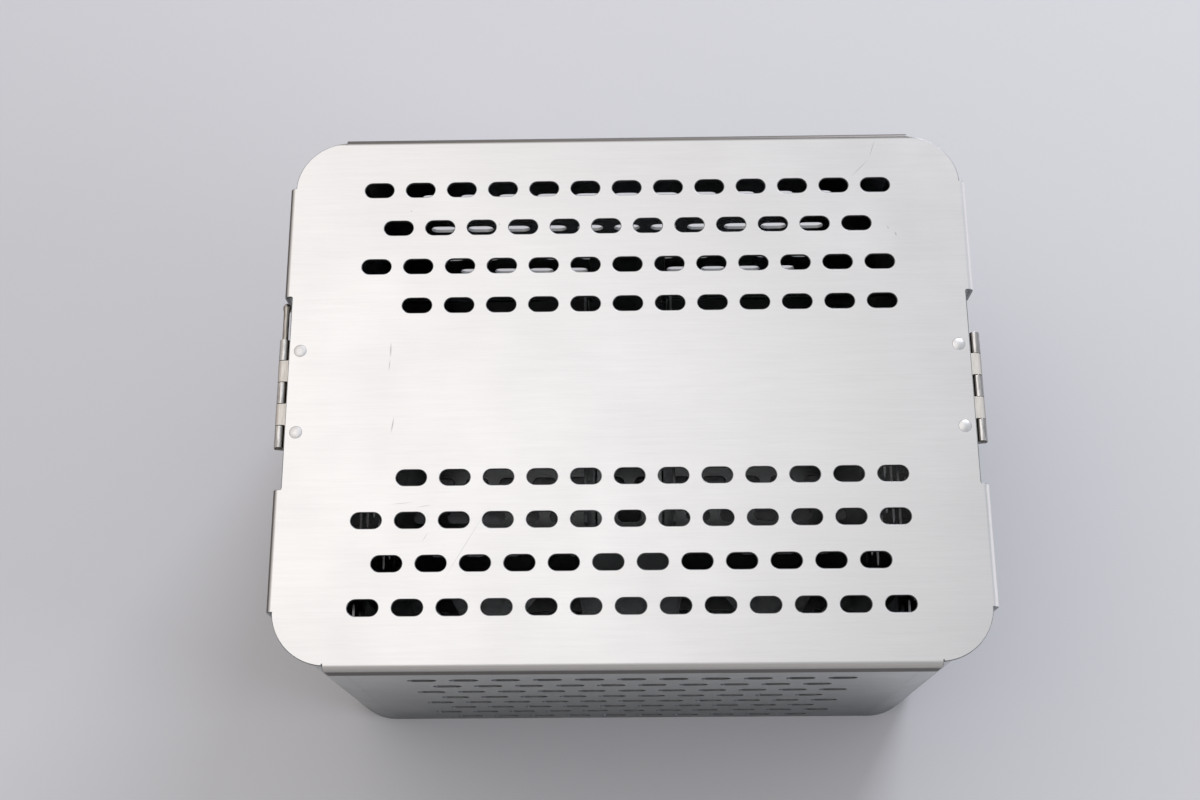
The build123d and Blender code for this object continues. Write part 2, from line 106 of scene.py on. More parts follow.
def cad_box(node: str) -> tuple[np.ndarray, np.ndarray]:
    """Low and high corner of a CAD node in millimetres."""
    low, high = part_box(node)
    return np.array(low) / MM, np.array(high) / MM


# ---------------------------------------------------------------------------
# Outlines in the plane
# ---------------------------------------------------------------------------
def left_of(vectors: np.ndarray) -> np.ndarray:
    """Each plane vector turned a quarter turn to the left."""
    return np.stack([-vectors[..., 1], vectors[..., 0]], axis=-1)


def unit(vectors: np.ndarray) -> np.ndarray:
    """Each vector brought to length one; a zero vector stays zero."""
    length = np.linalg.norm(vectors, axis=-1, keepdims=True)
    return vectors / np.where(length > 0, length, 1)


def rounded(points: np.ndarray, radii: np.ndarray, steps: int = 6) -> np.ndarray:
    """Closed outline with an arc at each corner.

    An arc starts at the corner less the incoming direction times radius * tan(turn / 2), and its
    centre lies one radius to the side that the outline turns to.

    Args:
        points: Corners, as rows of two values.
        radii: One radius for each corner, or one for all.
        steps: Straight steps in each arc.

    Returns:
        The outline's points in the same order, with no repeats.
    """
    radii = np.broadcast_to(np.asarray(radii, float), (len(points),))
    arriving = unit(points - np.roll(points, 1, axis=0))
    leaving = unit(np.roll(points, -1, axis=0) - points)
    cross = arriving[:, 0] * leaving[:, 1] - arriving[:, 1] * leaving[:, 0]
    turn = np.arctan2(cross, (arriving * leaving).sum(axis=1))
    start = points - arriving * (radii * np.tan(np.abs(turn) / 2))[:, None]
    centre = start + left_of(arriving) * (np.sign(turn) * radii)[:, None]
    angle = turn[:, None] * np.linspace(0, 1, steps + 1)
    arm = (start - centre)[:, None, :]
    swung = arm * np.cos(angle)[..., None] + left_of(arm) * np.sin(angle)[..., None]
    outline = (centre[:, None, :] + swung).reshape(-1, 2)
    repeat = np.linalg.norm(outline - np.roll(outline, 1, axis=0), axis=1) < TINY
    return outline[~repeat]


def stadiums(centres: np.ndarray, length: float, width: float, steps: int,
             upright: bool = False) -> list[np.ndarray]:
    """Slots with round ends, each a clockwise loop.

    A slot is a circle of half the width whose right half is moved right, and its left half left, by
    half of what the length has over the width.

    Args:
        centres: Slot centres, as rows of two values.
        length: Overall length.
        width: Width, and the diameter of the round ends.
        steps: Straight steps in each round end.
        upright: Whether the slots stand along the second axis.

    Returns:
        One loop for each centre.
    """
    angle = np.linspace(-QUARTER, QUARTER, steps + 1)
    half = np.stack([np.cos(angle) * width / 2 + (length - width) / 2, np.sin(angle) * width / 2], axis=1)
    loop = np.concatenate([half, -half])[::-1]
    if upright:
        loop = left_of(loop)
    return list(np.asarray(centres, float)[:, None, :] + loop[None, :, :])


def circles(centres: np.ndarray, radius: float, steps: int = 24) -> list[np.ndarray]:
    """Round holes, each a clockwise loop of a circle's points about its centre.

    Args:
        centres: Centres, as rows of two values.
        radius: Radius of every hole.
        steps: Points in each loop.

    Returns:
        One loop for each centre.
    """
    angle = -np.arange(steps) * (2 * math.pi / steps)
    ring = radius * np.stack([np.cos(angle), np.sin(angle)], axis=1)
    return list(np.asarray(centres, float)[:, None, :] + ring[None, :, :])


def split_at(loop: np.ndarray, axis: int, level: float) -> np.ndarray:
    """The loop with a point added wherever an edge crosses a level.

    Args:
        loop: Points of a closed loop.
        axis: Coordinate that is compared, 0 or 1.
        level: Value at which the edges are split.

    Returns:
        The loop with the added points in their order.
    """
    following = np.roll(loop, -1, axis=0)
    span = following[:, axis] - loop[:, axis]
    share = (level - loop[:, axis]) / np.where(span == 0, np.inf, span)
    crossed = (share > TINY) & (share < 1 - TINY)
    points = loop[crossed] + share[crossed, None] * (following - loop)[crossed]
    return np.insert(loop, np.flatnonzero(crossed) + 1, points, axis=0)


def symmetrical(half: list[Pair] | np.ndarray, radii: float | list[float] | np.ndarray,
                steps: int) -> np.ndarray:
    """Rounded outline of a shape that is its own mirror image in X.

    Args:
        half: Corners of its right half, given upwards.
        radii: One radius for each of these corners, or one for all.
        steps: Straight steps in each arc.

    Returns:
        The half and then its mirror image, as one closed loop.
    """
    half = np.asarray(half, float)
    radii = np.broadcast_to(np.asarray(radii, float), (len(half),))
    return rounded(np.concatenate([half, half[::-1] * (-1, 1)]), np.concatenate([radii, radii[::-1]]), steps)


# ---------------------------------------------------------------------------
# Bent lines and folds
# ---------------------------------------------------------------------------
@dataclass(frozen=True)
class BentLine:
    """Line in a plane made of straight and round stretches.

    Attributes:
        stretches: Length and turn in radians of each stretch; a turn of zero is straight.
        start: Place of its first point, where it runs along the first axis.
    """

    stretches: tuple[Pair, ...]
    start: Pair = (0.0, 0.0)

    @property
    def length(self) -> float:
        """Length of all its stretches together."""
        return sum(length for length, _ in self.stretches)

    def at(self, along: np.ndarray) -> tuple[np.ndarray, np.ndarray]:
        """Places and headings at distances along the line.

        Within a stretch the chord from its start has length l * sin(k l / 2) / (k l / 2) and the
        direction of the start plus k l / 2, for a distance l and a curvature k.

        Args:
            along: Distances from the first point.

        Returns:
            Places, as rows of two values, and headings in radians.
        """
        lengths, turns = np.array(self.stretches).T
        begins = np.concatenate([[0], np.cumsum(lengths)[:-1]])
        headings = np.concatenate([[0], np.cumsum(turns)[:-1]])
        chords = chord(lengths, turns / lengths, headings)
        places = np.array(self.start) + np.concatenate([[[0, 0]], np.cumsum(chords, axis=0)[:-1]])
        which = np.clip(np.searchsorted(begins, along, side="right") - 1, 0, len(lengths) - 1)
        local = along - begins[which]
        curvature = (turns / lengths)[which]
        return places[which] + chord(local, curvature, headings[which]), headings[which] + curvature * local


def chord(length: np.ndarray, curvature: np.ndarray, heading: np.ndarray) -> np.ndarray:
    """Step from the start of an arc to its end: length * sinc(half turn) along the mean heading.

    Args:
        length: Length of the arc.
        curvature: Turn for each millimetre of it.
        heading: Heading at its start in radians.

    Returns:
        The step, as rows of two values.
    """
    half = curvature * length / 2
    size = length * np.sinc(half / math.pi)
    return np.stack([size * np.cos(heading + half), size * np.sin(heading + half)], axis=-1)


@dataclass(frozen=True)
class Fold:
    """One bend of a flat sheet: past a line it turns round a mandrel and runs straight on.

    Attributes:
        axis: Coordinate of the blank that the bend line lies across, 0 or 1.
        side: Direction in which the sheet is followed, +1 or -1.
        start: Where the bend starts, along that direction.
        radius: Radius of the middle of the sheet.
        turn: Turn in degrees, positive towards the sheet's outer face.
        reach: Range of the other coordinate, without its sign, that the bend spans.
        steps: Straight steps in the bend.
    """

    axis: int
    side: int
    start: float
    radius: float
    turn: float
    reach: Pair
    steps: int = 8

    @property
    def arc(self) -> float:
        """Length of the bend along the middle of the sheet."""
        return self.radius * abs(math.radians(self.turn))

    @property
    def levels(self) -> np.ndarray:
        """Coordinates of the lines across which the bend is stepped."""
        return self.side * (self.start + self.arc * np.linspace(0, 1, self.steps + 1))

    def creases(self) -> np.ndarray:
        """Ends of each stepped line, just inside the sheet, on one or both sides of the middle.

        Returns:
            Pairs of places in the blank.
        """
        low, high = self.reach
        low, high = (low and low + CREASE_INSET), high - CREASE_INSET
        spans = [(-high, high)] if low == 0 else [(low, high), (-high, -low)]
        lines = [((level, a), (level, b)) for level in self.levels for a, b in spans]
        return np.array(lines) if self.axis == 0 else np.array(lines)[..., ::-1]

    def apply(self, points: np.ndarray, normals: np.ndarray) -> tuple[np.ndarray, np.ndarray]:
        """Fold points and normals.

        A point at distance s past the start and height w over the middle goes to the bent line's
        place at s plus w times the line's left normal there, and its normal turns with the line.

        Args:
            points: Places in the blank, with the height over the middle last.
            normals: Normals at those places.

        Returns:
            Folded places and normals.
        """
        low, high = self.reach
        other = np.abs(points[:, 1 - self.axis])
        past = self.side * points[:, self.axis] - self.start
        bent = (past > 0) & (other > low) & (other < high)
        line = BentLine(((self.arc, math.radians(self.turn)), (1.0, 0.0)))
        place, heading = line.at(past[bent])
        sine, cosine = np.sin(heading), np.cos(heading)
        height = points[bent, 2]
        ahead, up = self.side * normals[bent, self.axis], normals[bent, 2]
        points, normals = points.copy(), normals.copy()
        points[bent, self.axis] = self.side * (self.start + place[:, 0] - height * sine)
        points[bent, 2] = place[:, 1] + height * cosine
        normals[bent, self.axis] = self.side * (ahead * cosine - up * sine)
        normals[bent, 2] = ahead * sine + up * cosine
        return points, normals


# ---------------------------------------------------------------------------
# Surfaces
# ---------------------------------------------------------------------------
@dataclass
class Surface:
    """Closed surface in the frame, in millimetres.

    Attributes:
        points: Places, as rows of three values.
        quads: Faces with four corners.
        triangles: Faces with three corners.
        normals: Normal at each place, or None to let the mesh work them out.
        blank: Place of each point in the flat blank, or None where there is none.
    """

    points: np.ndarray
    quads: np.ndarray
    triangles: np.ndarray
    normals: np.ndarray | None = None
    blank: np.ndarray | None = None

    def turned(self, rows: np.ndarray, origin: Triple) -> "Surface":
        """The surface with its own axes laid along given rows and its origin moved to a place."""
        normals = None if self.normals is None else self.normals @ rows
        return Surface(self.points @ rows + origin, self.quads, self.triangles, normals, self.blank)

    def stood(self, facing: Facing, origin: Triple) -> "Surface":
        """The surface as it stands in the frame.

        Args:
            facing: Way that it faces.
            origin: Place of its origin in the frame.

        Returns:
            The surface in the frame.
        """
        return self.turned(np.array(facing.value, float), origin)

    def swung(self, degrees: float, centre: Pair) -> "Surface":
        """The surface turned about a line along Y.

        Args:
            degrees: Angle from X towards Z.
            centre: Place of the line, as X and Z.

        Returns:
            The turned surface.
        """
        cosine, sine = math.cos(math.radians(degrees)), math.sin(math.radians(degrees))
        turn = np.array([[cosine, 0, sine], [0, 1, 0], [-sine, 0, cosine]])
        pivot = np.array([centre[0], 0, centre[1]])
        return self.turned(np.eye(3), -pivot).turned(turn, pivot)

    def at_end(self, end: End) -> "Surface":
        """The surface as made for the right-hand end, or its mirror image for the left."""
        return self.turned(np.diag([end.value, 1.0, 1.0]), (0, 0, 0))

    def volume(self) -> float:
        """Signed volume: a sixth of the sum of triple products of its triangles.

        Returns:
            The volume in cubic millimetres, below zero where the faces point inwards.
        """
        fans = [self.triangles, self.quads[:, :3], self.quads[:, [0, 2, 3]]]
        a, b, c = (self.points[np.concatenate(fans)[:, corner]] for corner in range(3))
        return float((a * np.cross(b, c)).sum() / 6)

    def piece(self, name: str, body: str, finish: "Finish", node: str) -> None:
        """Make the surface an object of the part.

        Args:
            name: Name of the piece.
            body: Body that it rides on.
            finish: What it wears.
            node: CAD node that it replaces.
        """
        outward = slice(None) if self.volume() > 0 else slice(None, None, -1)
        faces = self.triangles[:, outward].tolist() + self.quads[:, outward].tolist()
        mesh = bpy.data.meshes.new(name)
        mesh.from_pydata((self.points * MM).tolist(), [], faces)
        for material in finish.materials:
            mesh.materials.append(material)
        if len(finish.materials) > 1:
            places = np.full(len(faces), Skin.CUT_EDGE.value, dtype=np.int32)
            places[: len(self.triangles)] = Skin.FACE.value
            mesh.polygons.foreach_set("material_index", places)
        mesh.shade_smooth()
        if self.normals is None:
            mesh.set_sharp_from_angle(angle=math.radians(SHARP_DEGREES))
        else:
            mesh.normals_split_custom_set_from_vertices(unit(self.normals).tolist())
        if self.blank is not None:
            layer = mesh.attributes.new("blank", "FLOAT_VECTOR", "POINT")
            layer.data.foreach_set("vector", (self.blank * MM).astype(np.float32).ravel())
        thing = bpy.data.objects.new(name, mesh)
        bpy.context.scene.collection.objects.link(thing)
        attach(thing, body)
        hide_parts(node)
        LOG.info("%s: %d faces on %s", name, len(faces), body)


def together(surfaces: list[Surface]) -> Surface:
    """Several surfaces of one kind as one, with the faces of each counted on from the last.

    Args:
        surfaces: Surfaces without normals or blanks of their own.

    Returns:
        One surface of them all.
    """
    offsets = np.concatenate([[0], np.cumsum([len(s.points) for s in surfaces])[:-1]])
    return Surface(
        np.concatenate([s.points for s in surfaces]),
        np.concatenate([s.quads + offset for s, offset in zip(surfaces, offsets)]),
        np.concatenate([s.triangles + offset for s, offset in zip(surfaces, offsets)]),
    )


@dataclass
class Sheet:
    """Flat blank with holes, its edges broken all round, and the folds that shape it.

    Attributes:
        outline: Anticlockwise loop.
        holes: Clockwise loops, each convex.
        thickness: Thickness of the sheet.
        edge: Radius that breaks its edges.
        edge_steps: Straight steps in that radius.
        folds: Folds, applied in order.
    """

    outline: np.ndarray
    holes: list[np.ndarray]
    thickness: float
    edge: float
    edge_steps: int
    folds: list[Fold] = field(default_factory=list)

    def surface(self) -> Surface:
        """Two skins and the rims that join them, folded.

        A rim is a grid of two parameters, the place round a loop and the angle over the broken edge:
        the depth into the sheet is edge * (1 - cos angle) and the height is half the thickness less
        edge * (1 - sin angle). A skin is the plane filled between the rims' first rows.

        Returns:
            The folded surface, middle of the sheet at height zero.
        """
        outline = self.outline
        for fold in self.folds:
            for level in fold.levels:
                outline = split_at(outline, fold.axis, level)
        loops = [outline, *self.holes]
        sizes = np.array([len(loop) for loop in loops])
        owner = np.repeat(np.arange(len(loops)), sizes)
        first = np.concatenate([[0], np.cumsum(sizes)[:-1]])
        count = int(sizes.sum())
        following = np.arange(1, count + 1)
        following[first + sizes - 1] = first
        before = np.empty(count, dtype=int)
        before[following] = np.arange(count)
        flat = np.concatenate(loops)
        inward_next = left_of(unit(flat[following] - flat))
        inward_last = inward_next[before]
        spread = 1 + (inward_next * inward_last).sum(axis=1, keepdims=True)
        inward = (inward_next + inward_last) / spread

        angle = np.linspace(QUARTER, 0, self.edge_steps + 1)
        angle = np.concatenate([angle, -angle[::-1]])
        depth = self.edge * (1 - np.cos(angle))
        core = np.repeat([1, -1], self.edge_steps + 1) * (self.thickness / 2 - self.edge)
        height = core + self.edge * np.sin(angle)
        rows = len(angle)
        points = np.empty((rows, count, 3))
        points[..., :2] = flat + inward * depth[:, None, None]
        points[..., 2] = height[:, None]
        normals = np.empty_like(points)
        normals[..., :2] = -unit(inward) * np.cos(angle)[:, None, None]
        normals[..., 2] = np.sin(angle)[:, None]

        row = np.arange(rows - 1)[:, None] * count
        here, there = np.arange(count)[None, :], following[None, :]
        quads = np.stack([row + here, row + count + here, row + count + there, row + there], axis=-1)
        skin = self.filled(points[0, :, :2], following, owner)
        under = skin[:, ::-1] + (rows - 1) * count
        blank = points.reshape(-1, 3)
        folded, turned = blank, normals.reshape(-1, 3)
        for fold in self.folds:
            folded, turned = fold.apply(folded, turned)
        return Surface(folded, quads.reshape(-1, 4), np.concatenate([skin, under]), turned, blank)

    def filled(self, flat: np.ndarray, following: np.ndarray, owner: np.ndarray) -> np.ndarray:
        """Triangles of one skin, kept off the holes and split along the creases.

        Args:
            flat: Points of all the loops.
            following: Index of the next point of the same loop.
            owner: Loop that each point belongs to.

        Returns:
            Triangles, as rows of indices into flat. A triangle on one hole's points lies in it.
        """
        edges = np.stack([np.arange(len(flat)), following], axis=1)
        for fold in self.folds:
            ends = fold.creases().reshape(-1, 2)
            nearest = np.linalg.norm(flat[None] - ends[:, None], axis=2).argmin(axis=1)
            edges = np.concatenate([edges, nearest.reshape(-1, 2)])
        places, _, faces, origins, _, _ = delaunay_2d_cdt(flat.tolist(), edges.tolist(), [], 1, MERGE_REACH)
        source = np.array([origin[0] if origin else -1 for origin in origins])
        triangles = source[np.array(faces)]
        if len(places) != len(flat) or triangles.min() < 0:
            raise ValueError(f"blank filled with {len(places)} points for {len(flat)}")
        owners = owner[triangles]
        in_hole = (owners[:, 0] > 0) & (owners == owners[:, :1]).all(axis=1)
        return triangles[~in_hole]


def round_part(path: np.ndarray, radii: np.ndarray, across: Triple, segments: int = 24) -> Surface:
    """Round section carried along a plane path, closed by a pole at each end.

    The ring at each place is radius * (cos angle * across + sin angle * tangent x across).

    Args:
        path: Places along the path, as rows of three values; its first and last radius are zero.
        radii: Radius at each place.
        across: Direction square to the path's plane.
        segments: Steps round the section.

    Returns:
        The closed surface.
    """
    across = np.asarray(across, float)
    inner = path[1:-1]
    tangent = unit(path[2:] - path[:-2])
    second = np.cross(tangent, across)
    angle = np.arange(segments) * (2 * math.pi / segments)
    ring = np.cos(angle)[None, :, None] * across + np.sin(angle)[None, :, None] * second[:, None, :]
    rings = inner[:, None, :] + radii[1:-1, None, None] * ring
    points = np.concatenate([path[:1], rings.reshape(-1, 3), path[-1:]])
    here = np.arange(segments)
    there = np.roll(here, -1)
    row = 1 + np.arange(len(inner) - 1)[:, None] * segments
    quads = np.stack([row + here, row + segments + here, row + segments + there, row + there], axis=-1)
    last = 1 + (len(inner) - 1) * segments
    begin = np.stack([np.zeros_like(here), 1 + here, 1 + there], axis=1)
    finish = np.stack([np.full_like(here, len(points) - 1), last + there, last + here], axis=1)
    return Surface(points, quads.reshape(-1, 4), np.concatenate([begin, finish]))


def turned_part(profile: list[Pair], segments: int = 28) -> Surface:
    """Part turned about its own Z, its rings a hair apart so that flat stretches keep a direction.

    Args:
        profile: Rows of a radius and a height, from one pole to the other.
        segments: Steps round the part.

    Returns:
        The closed surface.
    """
    radii, heights = np.array(profile).T
    path = np.stack([np.zeros_like(heights), np.zeros_like(heights), heights], axis=1)
    nudge = np.linspace(0, TINY, len(path))[:, None] * (0, 0, -1)
    return round_part(path + nudge, radii, (1, 0, 0), segments)


def wire(line: BentLine, radius: float, origin: Triple, step: float,
         swell: Triple = (0.0, 1.0, 0.0)) -> Surface:
    """Round wire along a bent line in the plane of Y and Z, with domed ends.

    The radius is sqrt(r^2 - (r - s)^2) within r of an end, s being the distance from it, and a
    swelling adds its height times a bell curve about its place.

    Args:
        line: Middle line of the wire.
        radius: Radius of the wire.
        origin: Place in the frame of the line's origin.
        step: Distance between rings.
        swell: Place along the wire, spread and height of a swelling.

    Returns:
        The closed surface in the frame.
    """
    dome = radius * (1 - np.cos(np.linspace(0, QUARTER, 7)))
    middle = np.linspace(radius, line.length - radius, max(2, round(line.length / step)))
    along = np.concatenate([dome[:-1], middle, line.length - dome[-2::-1]])
    from_end = np.minimum(np.minimum(along, line.length - along), radius)
    radii = np.sqrt(np.maximum(radius**2 - (radius - from_end) ** 2, 0))
    place, spread, height = swell
    radii = radii + (radii > 0) * height * np.exp(-(((along - place) / spread) ** 2))
    flat, _ = line.at(along)
    path = np.column_stack([flat, np.zeros(len(flat))])
    return round_part(path, radii, (0, 0, 1)).stood(Facing.RIGHT, origin)


# ---------------------------------------------------------------------------
# Finishes
# ---------------------------------------------------------------------------
def linear(colour: str) -> tuple[float, float, float, float]:
    """Linear colour: c / 12.92 up to 0.04045, and ((c + 0.055) / 1.055) ** 2.4 past it.

    Args:
        colour: Hex value such as #c0c4c8.

    Returns:
        Linear red, green and blue, and an alpha of one.
    """
    parts = np.array([int(colour[i : i + 2], 16) for i in (1, 3, 5)]) / 255
    red, green, blue = np.where(parts <= 0.04045, parts / 12.92, ((parts + 0.055) / 1.055) ** 2.4)
    return float(red), float(green), float(blue), 1.0


def add_node(tree: Tree, kind: str, settings: dict | None = None, links: dict | None = None) -> Node:
    """Add one node with its settings and links.

    Args:
        tree: Node tree that it goes into.
        kind: Type of the node.
        settings: Values for its inputs, by name or number, and for its own properties, by name.
        links: Sockets that feed its inputs, by name or number of the input.

    Returns:
        The new node.
    """
    node = tree.nodes.new(kind)
    for key, value in (settings or {}).items():
        if isinstance(key, int) or key in node.inputs:
            node.inputs[key].default_value = value
        else:
            setattr(node, key, value)
    for key, socket in (links or {}).items():
        tree.links.new(socket, node.inputs[key])
    return node


def ramp(low: float, high: float) -> dict[str, float]:
    """Settings with which a map range node takes low to zero and high to one."""
    return {"From Min": low, "From Max": high}


def blended(tree: Tree, share: Socket, first: str | Socket, second: str | Socket) -> Socket:
    """Colour that goes from first to second as a share goes from 0 to 1.

    Args:
        tree: Node tree of the material.
        share: Socket of the share.
        first: Hex value or socket at none.
        second: Hex value or socket at all.

    Returns:
        Socket of the colour.
    """
    colours = {6: first, 7: second}
    settings = {key: linear(colour) for key, colour in colours.items() if isinstance(colour, str)}
    links = {key: colour for key, colour in colours.items() if not isinstance(colour, str)}
    return add_node(tree, "ShaderNodeMix", {"data_type": "RGBA", **settings}, {0: share, **links}).outputs[2]


def new_material(name: str, metallic: float, roughness: float, colour: str) -> tuple[Material, Node]:
    """A material with one shader, whose constants are set on its own sockets.

    Args:
        name: Name of the material.
        metallic: How far it looks like bare metal.
        roughness: Roughness of the surface.
        colour: Hex value of its colour.

    Returns:
        The material and its shader.
    """
    material = bpy.data.materials.new(name)
    material.use_nodes = True
    shader = material.node_tree.nodes["Principled BSDF"]
    shader.inputs["Metallic"].default_value = metallic
    shader.inputs["Roughness"].default_value = roughness
    shader.inputs["Base Color"].default_value = linear(colour)
    return material, shader


@dataclass(frozen=True)
class Scratch:
    """Fine mark on a face that tapers to both ends.

    Attributes:
        start: One end in the blank, in millimetres.
        end: The other end.
        width: Width at the middle in millimetres, drawn wider than a real scratch so that it shows.
    """

    start: Pair
    end: Pair
    width: float = 0.34

    def nearness(self, tree: Tree, place: Socket) -> Socket:
        """Distance from the middle as a share of the mark: one on an ellipse of its length and width.

        Args:
            tree: Node tree of the material.
            place: Socket of the place in the blank.

        Returns:
            Socket of the distance.
        """
        start, end = np.array(self.start), np.array(self.end)
        middle, run = (start + end) / 2 * MM, end - start
        settings = {"vector_type": "TEXTURE", "Location": (*middle, 0.0),
                    "Rotation": (0.0, 0.0, math.atan2(run[1], run[0])),
                    "Scale": (np.hypot(*run) / 2 * MM, self.width / 2 * MM, 1.0)}
        local = add_node(tree, "ShaderNodeMapping", settings, {"Vector": place}).outputs[0]
        return add_node(tree, "ShaderNodeVectorMath", {"operation": "LENGTH"}, {0: local}).outputs["Value"]


@dataclass(frozen=True)
class BrushedAluminium:
    """Aluminium sheet, belt-brushed along the length of its blank outside, rolled inside.

    The belt leaves long fine lines that break the light across them, so the outer face is satin, with
    faint streaks and cloudy handling marks. The rolled inner face is smoother and greyer, so it shows
    blurred images of the slots; its colour is also darkened as painted shade of the container's inside.
    Aluminium keeps the shader's own IOR.

    Attributes:
        name: Name of the material.
        light: Colour of the brushed face.
        dark: Colour in the hollows of the grain.
        bend: Colour painted on bends and flanges inside the skirt line, a touch paler than the face, or
            nothing for a flat sheet.
        bend_shade_levels: Upward part of the normal at which a face counts as bent, and as flat, for the
            painted bend colours.
        bend_roughness: Roughness of bends and flanges.
        stain: Painted shade on bends and flanges past the skirt line.
        skirt: Skirt line, along and across the blank from its middle in millimetres.
        skirt_shift: How much further in that line lies at the left and at the back.
        skirt_blend: Width over which the painted shade begins.
        back_bend_shade: Painted shade on the back bend, laid over the lamp's glint there.
        back_shade_start: Where that bend starts across the blank, from none to all of the painted shade.
        back_shade_end: Where it ends.
        foot: Painted shade at the foot of an upright sheet, darker towards the bottom, or nothing.
        low_shade_span: Heights over the sheet's middle between which that painted shade fades.
        mill_and_shade: Colour of the inner face, greyer as rolled and darkened as painted shade of the
            inside.
        roughness: Roughness of the outer face.
        mill_roughness: Roughness of the inner face.
        grain_length: Length of a brush line in millimetres.
        grain_width: Width of a brush line in millimetres, drawn several times coarser to show.
        cloud: Size of a cloudy mark in millimetres.
        relief: Depth of the grain in millimetres.
        marks: Scratches on the outer face.
        marked: Colour in a scratch.
    """

    name: str
    light: str = "#ebebea"
    dark: str = "#e6e6e5"
    # Colours painted by tilt and place on bends and flanges: painted light and painted shade.
    bend: str = ""
    bend_shade_levels: Pair = (0.75, 0.995)
    bend_roughness: float = 0.75
    stain: str = "#7f7c79"
    skirt: Pair = (149.0, 114.4)
    skirt_shift: Pair = (-6.0, 8.0)
    skirt_blend: float = 5.0
    # Painted shade on the back bend.
    back_bend_shade: str = "#74716d"
    back_shade_start: Pair = (120.6, 121.6)
    back_shade_end: Pair = (124.5, 126.0)
    # Painted shade towards the foot of upright sheets.
    foot: str = ""
    low_shade_span: Pair = (-90.0, 80.0)
    # Inner face colour: greyer rolled metal, darkened as painted shade.
    mill_and_shade: str = "#707273"
    roughness: float = 0.35
    mill_roughness: float = 0.17
    grain_length: float = 18.0
    grain_width: float = 0.45
    cloud: float = 46.0
    relief: float = 0.01
    marks: tuple[Scratch, ...] = ()
    marked: str = "#8d8d90"

    def material(self) -> Material:
        """Build the finish on the blank's own coordinates.

        Returns:
            The material.
        """
        material, shader = new_material(self.name, 1.0, self.roughness, self.light)
        tree = material.node_tree
        place = add_node(tree, "ShaderNodeAttribute", {"attribute_name": "blank"}).outputs["Vector"]
        _, across, side = add_node(tree, "ShaderNodeSeparateXYZ", {}, {0: place}).outputs
        grain, streaks = self.lines(tree, place, 1.0), self.lines(tree, place, 4.0)
        both = add_node(tree, "ShaderNodeMath", {"operation": "ADD"}, {0: grain, 1: streaks}).outputs[0]
        tone = add_node(tree, "ShaderNodeMapRange", ramp(0.72, 1.28), {"Value": both}).outputs[0]
        outer = blended(tree, tone, self.dark, self.light)
        clouds = add_node(tree, "ShaderNodeTexNoise",
                          {"Scale": PER_METRE / self.cloud, "Detail": 3.0, "Roughness": 0.55},
                          {"Vector": place}).outputs[0]
        least, most = self.roughness - 0.04, self.roughness + 0.04
        gloss = add_node(tree, "ShaderNodeMapRange", {**ramp(0.3, 0.7), "To Min": least, "To Max": most},
                         {"Value": clouds}).outputs[0]
        if self.marks:
            outer = blended(tree, self.unmarked(tree, place), self.marked, outer)
        # Painted shade: darker towards the foot of an upright sheet.
        if self.foot:
            foot = ramp(self.low_shade_span[0] * MM, self.low_shade_span[1] * MM)
            clear = add_node(tree, "ShaderNodeMapRange", foot, {"Value": across}).outputs[0]
            outer = blended(tree, clear, self.foot, outer)
        # Painted light and shade by tilt: bends and flanges take the bend colour, and past the skirt line a
        # painted shade.
        if self.bend:
            normal = add_node(tree, "ShaderNodeTexCoord").outputs["Normal"]
            level = add_node(tree, "ShaderNodeSeparateXYZ", {}, {0: normal}).outputs[2]
            flat = add_node(tree, "ShaderNodeMapRange", ramp(*self.bend_shade_levels), {"Value": level}).outputs[0]
            bend_light_and_shade = blended(tree, self.past_skirt(tree, place), self.bend, self.stain)
            outer = blended(tree, flat, bend_light_and_shade, outer)
            # Painted shade on the back bend, over the lamp's glint.
            outer = blended(tree, self.in_back_shade(tree, across), outer, self.back_bend_shade)
            gloss = add_node(tree, "ShaderNodeMix", {2: self.bend_roughness}, {0: flat, 3: gloss}).outputs[0]
        # Inner faces take the inner colour, partly painted shade of the container's inside.
        outside = add_node(tree, "ShaderNodeMath", {"operation": "GREATER_THAN", 1: 0.0},
                           {0: side}).outputs[0]
        tree.links.new(blended(tree, outside, self.mill_and_shade, outer), shader.inputs["Base Color"])
        gloss = add_node(tree, "ShaderNodeMix", {2: self.mill_roughness}, {0: outside, 3: gloss}).outputs[0]
        tree.links.new(gloss, shader.inputs["Roughness"])
        relief = {"Strength": 0.12, "Distance": self.relief * MM}
        bump = add_node(tree, "ShaderNodeBump", relief, {"Height": grain}).outputs[0]
        tree.links.new(bump, shader.inputs["Normal"])
        return material

    def lines(self, tree: Tree, place: Socket, coarser: float) -> Socket:
        """Brush lines as noise stretched along the blank.

        Args:
            tree: Node tree of the material.
            place: Socket of the place in the blank.
            coarser: How many times wider than the grain they are.

        Returns:
            Socket of the lines, from 0 to 1.
        """
        along = PER_METRE / self.grain_length / coarser**0.5
        across = PER_METRE / self.grain_width / coarser
        stretched = add_node(tree, "ShaderNodeVectorMath",
                             {"operation": "MULTIPLY", 1: (along, across, across)},
                             {0: place}).outputs[0]
        return add_node(tree, "ShaderNodeTexNoise", {"Scale": 1.0, "Detail": 3.0, "Roughness": 0.65},
                        {"Vector": stretched}).outputs[0]

